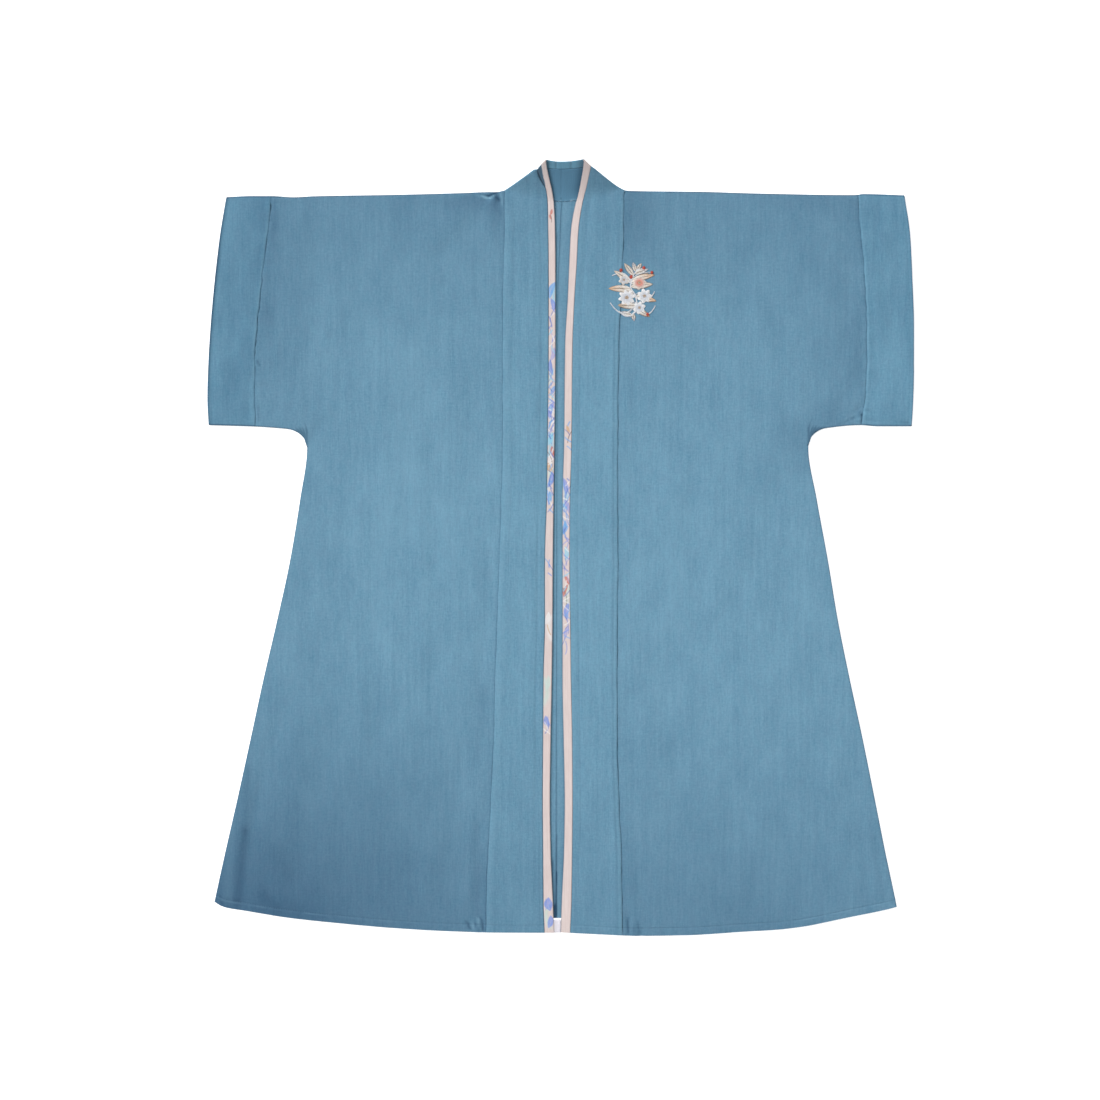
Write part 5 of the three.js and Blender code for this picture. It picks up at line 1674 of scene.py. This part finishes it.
def woven_cloth(name, colour, pitch, mottle, facing=False):
    """Matt plain-woven cloth with uneven yarn and soft mottling, with dark seam lines, painted shade and
    painted highlights where it is marked.
    """
    nodes = Nodes(name)
    place = nodes.add("ShaderNodeTexCoord").outputs["Object"]
    warp = nodes.noise(place, (620, 70, 1), 3)
    weft = nodes.noise(place, (90, 620, 1), 3)
    fleck = nodes.noise(place, (330, 330, 1), 2)
    cloud = nodes.noise(place, (26, 17, 1), 4)
    broad = nodes.noise(place, (9, 6, 1), 2)
    streak = nodes.noise(place, (210, 12, 1), 3)
    drawn = nodes.noise(place, (80, 3, 1), 2)
    yarn = nodes.plus(nodes.value("MULTIPLY", warp, 0.34), (weft, 0.22))
    tone = nodes.plus(yarn, (fleck, 0.38), (streak, 0.30), (drawn, 0.10), (cloud, mottle), (broad, 0.16))
    tone = nodes.spread(tone, 0.57 + mottle / 2, 0.93 + mottle / 2)
    woven = nodes.blend(tone, tint_of(colour, 0.78, 0.84, 0.87), tint_of(colour, 1.22, 1.16, 1.13))
    cast = nodes.spread(nodes.noise(place, (120, 70, 1), 3), 0.35, 0.65, 0.14)
    woven = nodes.blend(cast, woven, tint_of(colour, 1.4, 0.95, 0.97))
    # The collar's inside is painted darker where marked as facing: painted shade where the back of the collar
    # stands up away from the light.
    if facing:
        woven = nodes.blend(nodes.mark("facing"), woven, tint_of(colour, 0.71, 0.77, 0.83))
    # Painted shade, with the dark seam lines: folds, creases and turned edges darken.
    seamed_and_shaded = nodes.blend(nodes.mark("seam"), woven, tint_of(colour, 0.18, 0.24, 0.30))
    # Painted shade over broad areas and beside creases, with a little random tone.
    toned_and_shaded = nodes.blend(nodes.mark("dye"), seamed_and_shaded, tint_of(colour, 0.0, 0.08, 0.21))
    # Painted highlights on ridges, beside seams and on the hem's edge.
    deep = nodes.blend(nodes.mark("light"), toned_and_shaded, tint_of(colour, 1.75, 1.5, 1.4))
    bump = nodes.plus(yarn, (weave_height(nodes, place, pitch), 0.05), (cloud, 0.6))
    return nodes.finish(deep, bump, 0.0007, 0.88, 0.12)


def printed_cloth(name, lining_colour):
    """Fine ribbed cotton for the edging, with its print and a plain facing behind the neck."""
    nodes = Nodes(name)
    place = nodes.add("ShaderNodeTexCoord").outputs["Object"]
    ribs = nodes.noise(place, (900, 14, 1), 2)
    slub = nodes.noise(place, (200, 60, 1), 3)
    tone = nodes.plus(nodes.value("MULTIPLY", ribs, 0.6), (slub, 0.4))
    printed = nodes.mark("print_colour", "Color")
    paler = nodes.blend(0.10, printed, WHITE)
    deeper = nodes.blend(0.12, printed, (0.25, 0.16, 0.16, 1.0))
    woven = nodes.blend(nodes.spread(tone, 0.35, 0.65), deeper, paler)
    faced = nodes.blend(nodes.mark("facing"), woven, tint_of(lining_colour, 1.0, 1.05, 1.04))
    # Painted shade where the seam mark is set: along the join and the rolled free edge, in folds and tucks,
    # and beside the strips at the back of the neck.
    seamed_and_shaded = nodes.blend(nodes.mark("seam"), faced, (0.06, 0.10, 0.15, 1.0))
    bump = nodes.plus(tone, (weave_height(nodes, place, 0.5), 0.06))
    return nodes.finish(seamed_and_shaded, bump, 0.0005, 0.8, 0.08)


def embroidery_thread(name):
    """Stranded thread with a soft lustre."""
    nodes = Nodes(name)
    place = nodes.add("ShaderNodeTexCoord").outputs["Object"]
    strand = nodes.noise(place, (1500, 1500, 400), 2)
    colour = nodes.mark("thread_colour", "Color")
    varied = nodes.blend(strand, nodes.blend(0.14, colour, (0.2, 0.12, 0.08, 1.0)), colour)
    return nodes.finish(varied, strand, 0.0002, 0.45, 0.1)


def sewing_thread(name, colour):
    nodes = Nodes(name)
    place = nodes.add("ShaderNodeTexCoord").outputs["Object"]
    twist = nodes.noise(place, (2400, 2400, 900), 2)
    varied = nodes.blend(twist, shade_of(colour, 0.75), shade_of(colour, 1.1))
    return nodes.finish(varied, twist, 0.0001, 0.6, 0.05)


def pale_floor(name, colour, glow):
    """Studio paper that stays white under soft light."""
    nodes = Nodes(name)
    place = nodes.add("ShaderNodeTexCoord").outputs["Object"]
    grain = nodes.noise(place, (180, 180, 1), 3)
    paper = nodes.blend(grain, shade_of(colour, 0.985), shade_of(colour, 1.0))
    made = nodes.finish(paper, grain, 0.0001, 0.9, 0.0)
    nodes.shader.inputs["Emission Color"].default_value = WHITE
    nodes.shader.inputs["Emission Strength"].default_value = glow
    return made


# Settings ----------------------------------------------------------------------------------------


def colour_property(name, description, default):
    return bpy.props.FloatVectorProperty(
        name=name, description=description, subtype="COLOR", size=4, min=0.0, max=1.0, default=(*default, 1.0)
    )


def length_property(name, description, default):
    return bpy.props.FloatProperty(
        name=name, description=description, default=default, min=0.0001, soft_max=0.01, unit="LENGTH"
    )


def strength_property(name, description, default):
    return bpy.props.FloatProperty(name=name, description=description, default=default)


class HanfuClothSettings(bpy.types.PropertyGroup):
    """Cloth of the body, the sleeve bands and the collar."""

    body_colour: colour_property("Body", "Colour of the body and sleeves", linear(0.430, 0.610, 0.710))
    cuff_colour: colour_property("Sleeve bands", "Colour of the sleeve bands", linear(0.428, 0.620, 0.722))
    band_colour: colour_property("Collar", "Colour of the collar band", linear(0.430, 0.614, 0.714))
    body_thickness: length_property("Body cloth", "Thickness of the body's cloth", 0.0008)
    cuff_thickness: length_property("Sleeve band cloth", "Thickness of the sleeve bands", 0.0010)
    band_thickness: length_property("Collar cloth", "Thickness of the folded collar band", 0.0014)
    weave_pitch: bpy.props.FloatProperty(
        name="Weave", description="Distance between threads in millimetres", default=0.7, min=0.2, max=3.0
    )


class HanfuTrimSettings(bpy.types.PropertyGroup):
    """Printed edging, sewing thread and embroidery."""

    edging_colour: colour_property("Edging", "Ground colour of the edging", linear(0.890, 0.826, 0.812))
    edging_thickness: length_property("Edging cloth", "Thickness of the folded edging", 0.0017)
    thread_colour: colour_property("Sewing thread", "Colour of the hem stitches", linear(0.36, 0.52, 0.62))
    thread_width: length_property("Thread", "Width of the sewing thread", 0.0004)


class HanfuStageSettings(bpy.types.PropertyGroup):
    """Floor, lights and camera."""

    floor_colour: colour_property("Floor", "Colour of the floor", (0.95, 0.95, 0.95))
    floor_glow: strength_property("Floor glow", "Light of the floor itself", 0.6)
    key_light: strength_property("Key light", "Strength of the light from the left", 0.72)
    soft_light: strength_property("Soft light", "Strength of the light from above", 0.2)
    fill: strength_property("Fill", "Strength of the light all round", 0.30)
    camera_height: bpy.props.FloatProperty(
        name="Camera height", description="Height of the camera over the floor", default=4.0, unit="LENGTH"
    )


def dress(piece, node):
    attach(piece, "root")
    if node:
        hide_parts(node)


class HANFU_OT_body(bpy.types.Operator):
    """Make the two body halves with their sleeves"""

    bl_idname = "hanfu.body"
    bl_label = "Body and sleeves"

    def execute(self, context):
        settings = context.scene.hanfu_cloth
        cloth = woven_cloth("washed_cotton", settings.body_colour, settings.weave_pitch, 0.34)
        for half in HALVES:
            piece = build_body(half, settings.body_thickness / MM, cloth)
            dress(piece, f"body_{half.name}")
        return {"FINISHED"}


class HANFU_OT_cuffs(bpy.types.Operator):
    """Make the bands at the sleeve ends"""

    bl_idname = "hanfu.cuffs"
    bl_label = "Sleeve bands"

    def execute(self, context):
        settings = context.scene.hanfu_cloth
        cloth = woven_cloth("sleeve_band_cotton", settings.cuff_colour, settings.weave_pitch, 0.44)
        for half in HALVES:
            piece = build_cuff(half, settings.cuff_thickness / MM, cloth)
            dress(piece, f"cuff_{half.name}")
        return {"FINISHED"}


class HANFU_OT_collar(bpy.types.Operator):
    """Make the two collar bands"""

    bl_idname = "hanfu.collar"
    bl_label = "Collar"

    def execute(self, context):
        settings = context.scene.hanfu_cloth
        cloth = woven_cloth("collar_cotton", settings.band_colour, settings.weave_pitch, 0.30, facing=True)
        for half in HALVES:
            piece = build_collar(half, settings.band_thickness / MM, cloth)
            dress(piece, f"collar_{half.name}")
        return {"FINISHED"}


class HANFU_OT_edging(bpy.types.Operator):
    """Make the printed edging"""

    bl_idname = "hanfu.edging"
    bl_label = "Printed edging"

    def execute(self, context):
        trim, cloth = context.scene.hanfu_trim, context.scene.hanfu_cloth
        printed = printed_cloth("printed_cotton", cloth.band_colour)
        for half in HALVES:
            piece = build_edging(half, trim.edging_thickness / MM, printed)
            dress(piece, f"edging_{half.name}")
        return {"FINISHED"}


class HANFU_OT_spray(bpy.types.Operator):
    """Embroider the spray of flowers"""

    bl_idname = "hanfu.spray"
    bl_label = "Embroidered spray"

    def execute(self, context):
        threads = Threads()
        sew_stem(threads, stem_points(np.linspace(0, 1, 64)), 1.1)
        for leaf in SPRAY_LEAVES:
            sew_leaf(threads, *leaf)
        for flower in SPRAY_FLOWERS:
            sew_twig(threads, flower[0], flower[1], flower[6])
        for x, y, place, bow in SPRAY_TENDRILS:
            sew_twig(threads, x, y, place, bow, 1.9)
        for x, y, radius, place in SPRAY_BERRIES:
            sew_twig(threads, x, y, place)
            sew_berry(threads, x, y, radius)
        for x, y, radius, count, turn, heart, _, tints in SPRAY_FLOWERS:
            sew_flower(threads, x, y, radius, count, turn, heart, tints)
        piece = threads.build("flower_embroidery", embroidery_thread("stranded_thread"))
        dress(piece, "flower_spray")
        return {"FINISHED"}


class HANFU_OT_stitching(bpy.types.Operator):
    """Sew the hems"""

    bl_idname = "hanfu.stitching"
    bl_label = "Hem stitches"

    def execute(self, context):
        cloth, trim = context.scene.hanfu_cloth, context.scene.hanfu_trim
        thread = sewing_thread("cotton_thread", trim.thread_colour)
        width = trim.thread_width / MM
        for half in HALVES:
            x = np.linspace(half.corner[0] - half.out * 2, half.seam(-510) + half.out * 2, 400)

            def surface(px, py, half=half):
                return 2 * BODY_WALL + LAYER_GAP + front_lift(half, px, py) - 0.3

            name = f"hem_stitches_{half.name}"
            piece = running_stitches(x, half.hem(x) + HEM_TURN, surface, width, name, thread)
            dress(piece, None)
        return {"FINISHED"}


FLOOR_REACH, FLOOR_Z = 4.0, -0.0003
CAMERA_X, CAMERA_Y = -0.01425, -0.00339
FILM_WIDTH = 36.0
VIEW_WIDTH, VIEW_Z = 1.4927, 0.003  # width that the camera sees, and the height where it does


class HANFU_OT_stage(bpy.types.Operator):
    """Lay the floor and set the lights and the camera"""

    bl_idname = "hanfu.stage"
    bl_label = "Stage"

    def execute(self, context):
        stage = context.scene.hanfu_stage
        mesh = bpy.data.meshes.new("floor")
        square = ((-1, -1), (1, -1), (1, 1), (-1, 1))
        corners = [(x * FLOOR_REACH, y * FLOOR_REACH, FLOOR_Z) for x, y in square]
        mesh.from_pydata(corners, [], [(0, 1, 2, 3)])
        mesh.materials.append(pale_floor("studio_paper", stage.floor_colour, stage.floor_glow))
        floor = bpy.data.objects.new("floor", mesh)
        context.scene.collection.objects.link(floor)
        for name, towards, softness, strength in (
            ("key_light", (-0.60, 0.30, 0.74), 0.5, stage.key_light),
            ("soft_light", (0.35, 0.45, 0.82), 1.2, stage.soft_light),
        ):
            lamp = bpy.data.lights.new(name, "SUN")
            lamp.angle, lamp.energy = softness, strength * math.pi
            light = bpy.data.objects.new(name, lamp)
            light.rotation_euler = Vector(towards).to_track_quat("Z", "Y").to_euler()
            context.scene.collection.objects.link(light)
        world = bpy.data.worlds.new("studio")
        world.use_nodes = True
        sky = world.node_tree.nodes["Background"]
        sky.inputs["Color"].default_value = WHITE
        sky.inputs["Strength"].default_value = stage.fill
        context.scene.world = world
        lens = bpy.data.cameras.new("camera")
        lens.sensor_width = FILM_WIDTH
        lens.lens = FILM_WIDTH * (stage.camera_height - VIEW_Z) / VIEW_WIDTH
        camera = bpy.data.objects.new("camera", lens)
        camera.location = (CAMERA_X, CAMERA_Y, stage.camera_height)
        context.scene.collection.objects.link(camera)
        context.scene.camera = camera
        context.scene.view_settings.view_transform = "Standard"
        context.scene.view_settings.look = "None"
        return {"FINISHED"}


STEPS = (
    HANFU_OT_stage,
    HANFU_OT_body,
    HANFU_OT_cuffs,
    HANFU_OT_collar,
    HANFU_OT_edging,
    HANFU_OT_spray,
    HANFU_OT_stitching,
)


class HANFU_PT_panel(bpy.types.Panel):
    """Sizes, colours and steps of the jacket"""

    bl_idname = "HANFU_PT_panel"
    bl_label = "Hanfu jacket"
    bl_space_type = "VIEW_3D"
    bl_region_type = "UI"
    bl_category = "Hanfu"

    def draw(self, context):
        for group in (context.scene.hanfu_cloth, context.scene.hanfu_trim, context.scene.hanfu_stage):
            box = self.layout.box()
            for name in group.__annotations__:
                box.prop(group, name)
        for step in STEPS:
            self.layout.operator(step.bl_idname)


CLASSES = (HanfuClothSettings, HanfuTrimSettings, HanfuStageSettings, *STEPS, HANFU_PT_panel)


def register():
    for made in CLASSES:
        bpy.utils.register_class(made)
    bpy.types.Scene.hanfu_cloth = bpy.props.PointerProperty(type=HanfuClothSettings)
    bpy.types.Scene.hanfu_trim = bpy.props.PointerProperty(type=HanfuTrimSettings)
    bpy.types.Scene.hanfu_stage = bpy.props.PointerProperty(type=HanfuStageSettings)


def unregister():
    del bpy.types.Scene.hanfu_stage
    del bpy.types.Scene.hanfu_trim
    del bpy.types.Scene.hanfu_cloth
    for made in reversed(CLASSES):
        bpy.utils.unregister_class(made)


def main():
    register()
    bpy.ops.hanfu.stage()
    bpy.ops.hanfu.body()
    bpy.ops.hanfu.cuffs()
    bpy.ops.hanfu.collar()
    bpy.ops.hanfu.edging()
    bpy.ops.hanfu.spray()
    bpy.ops.hanfu.stitching()


if __name__ == "__main__":
    main()
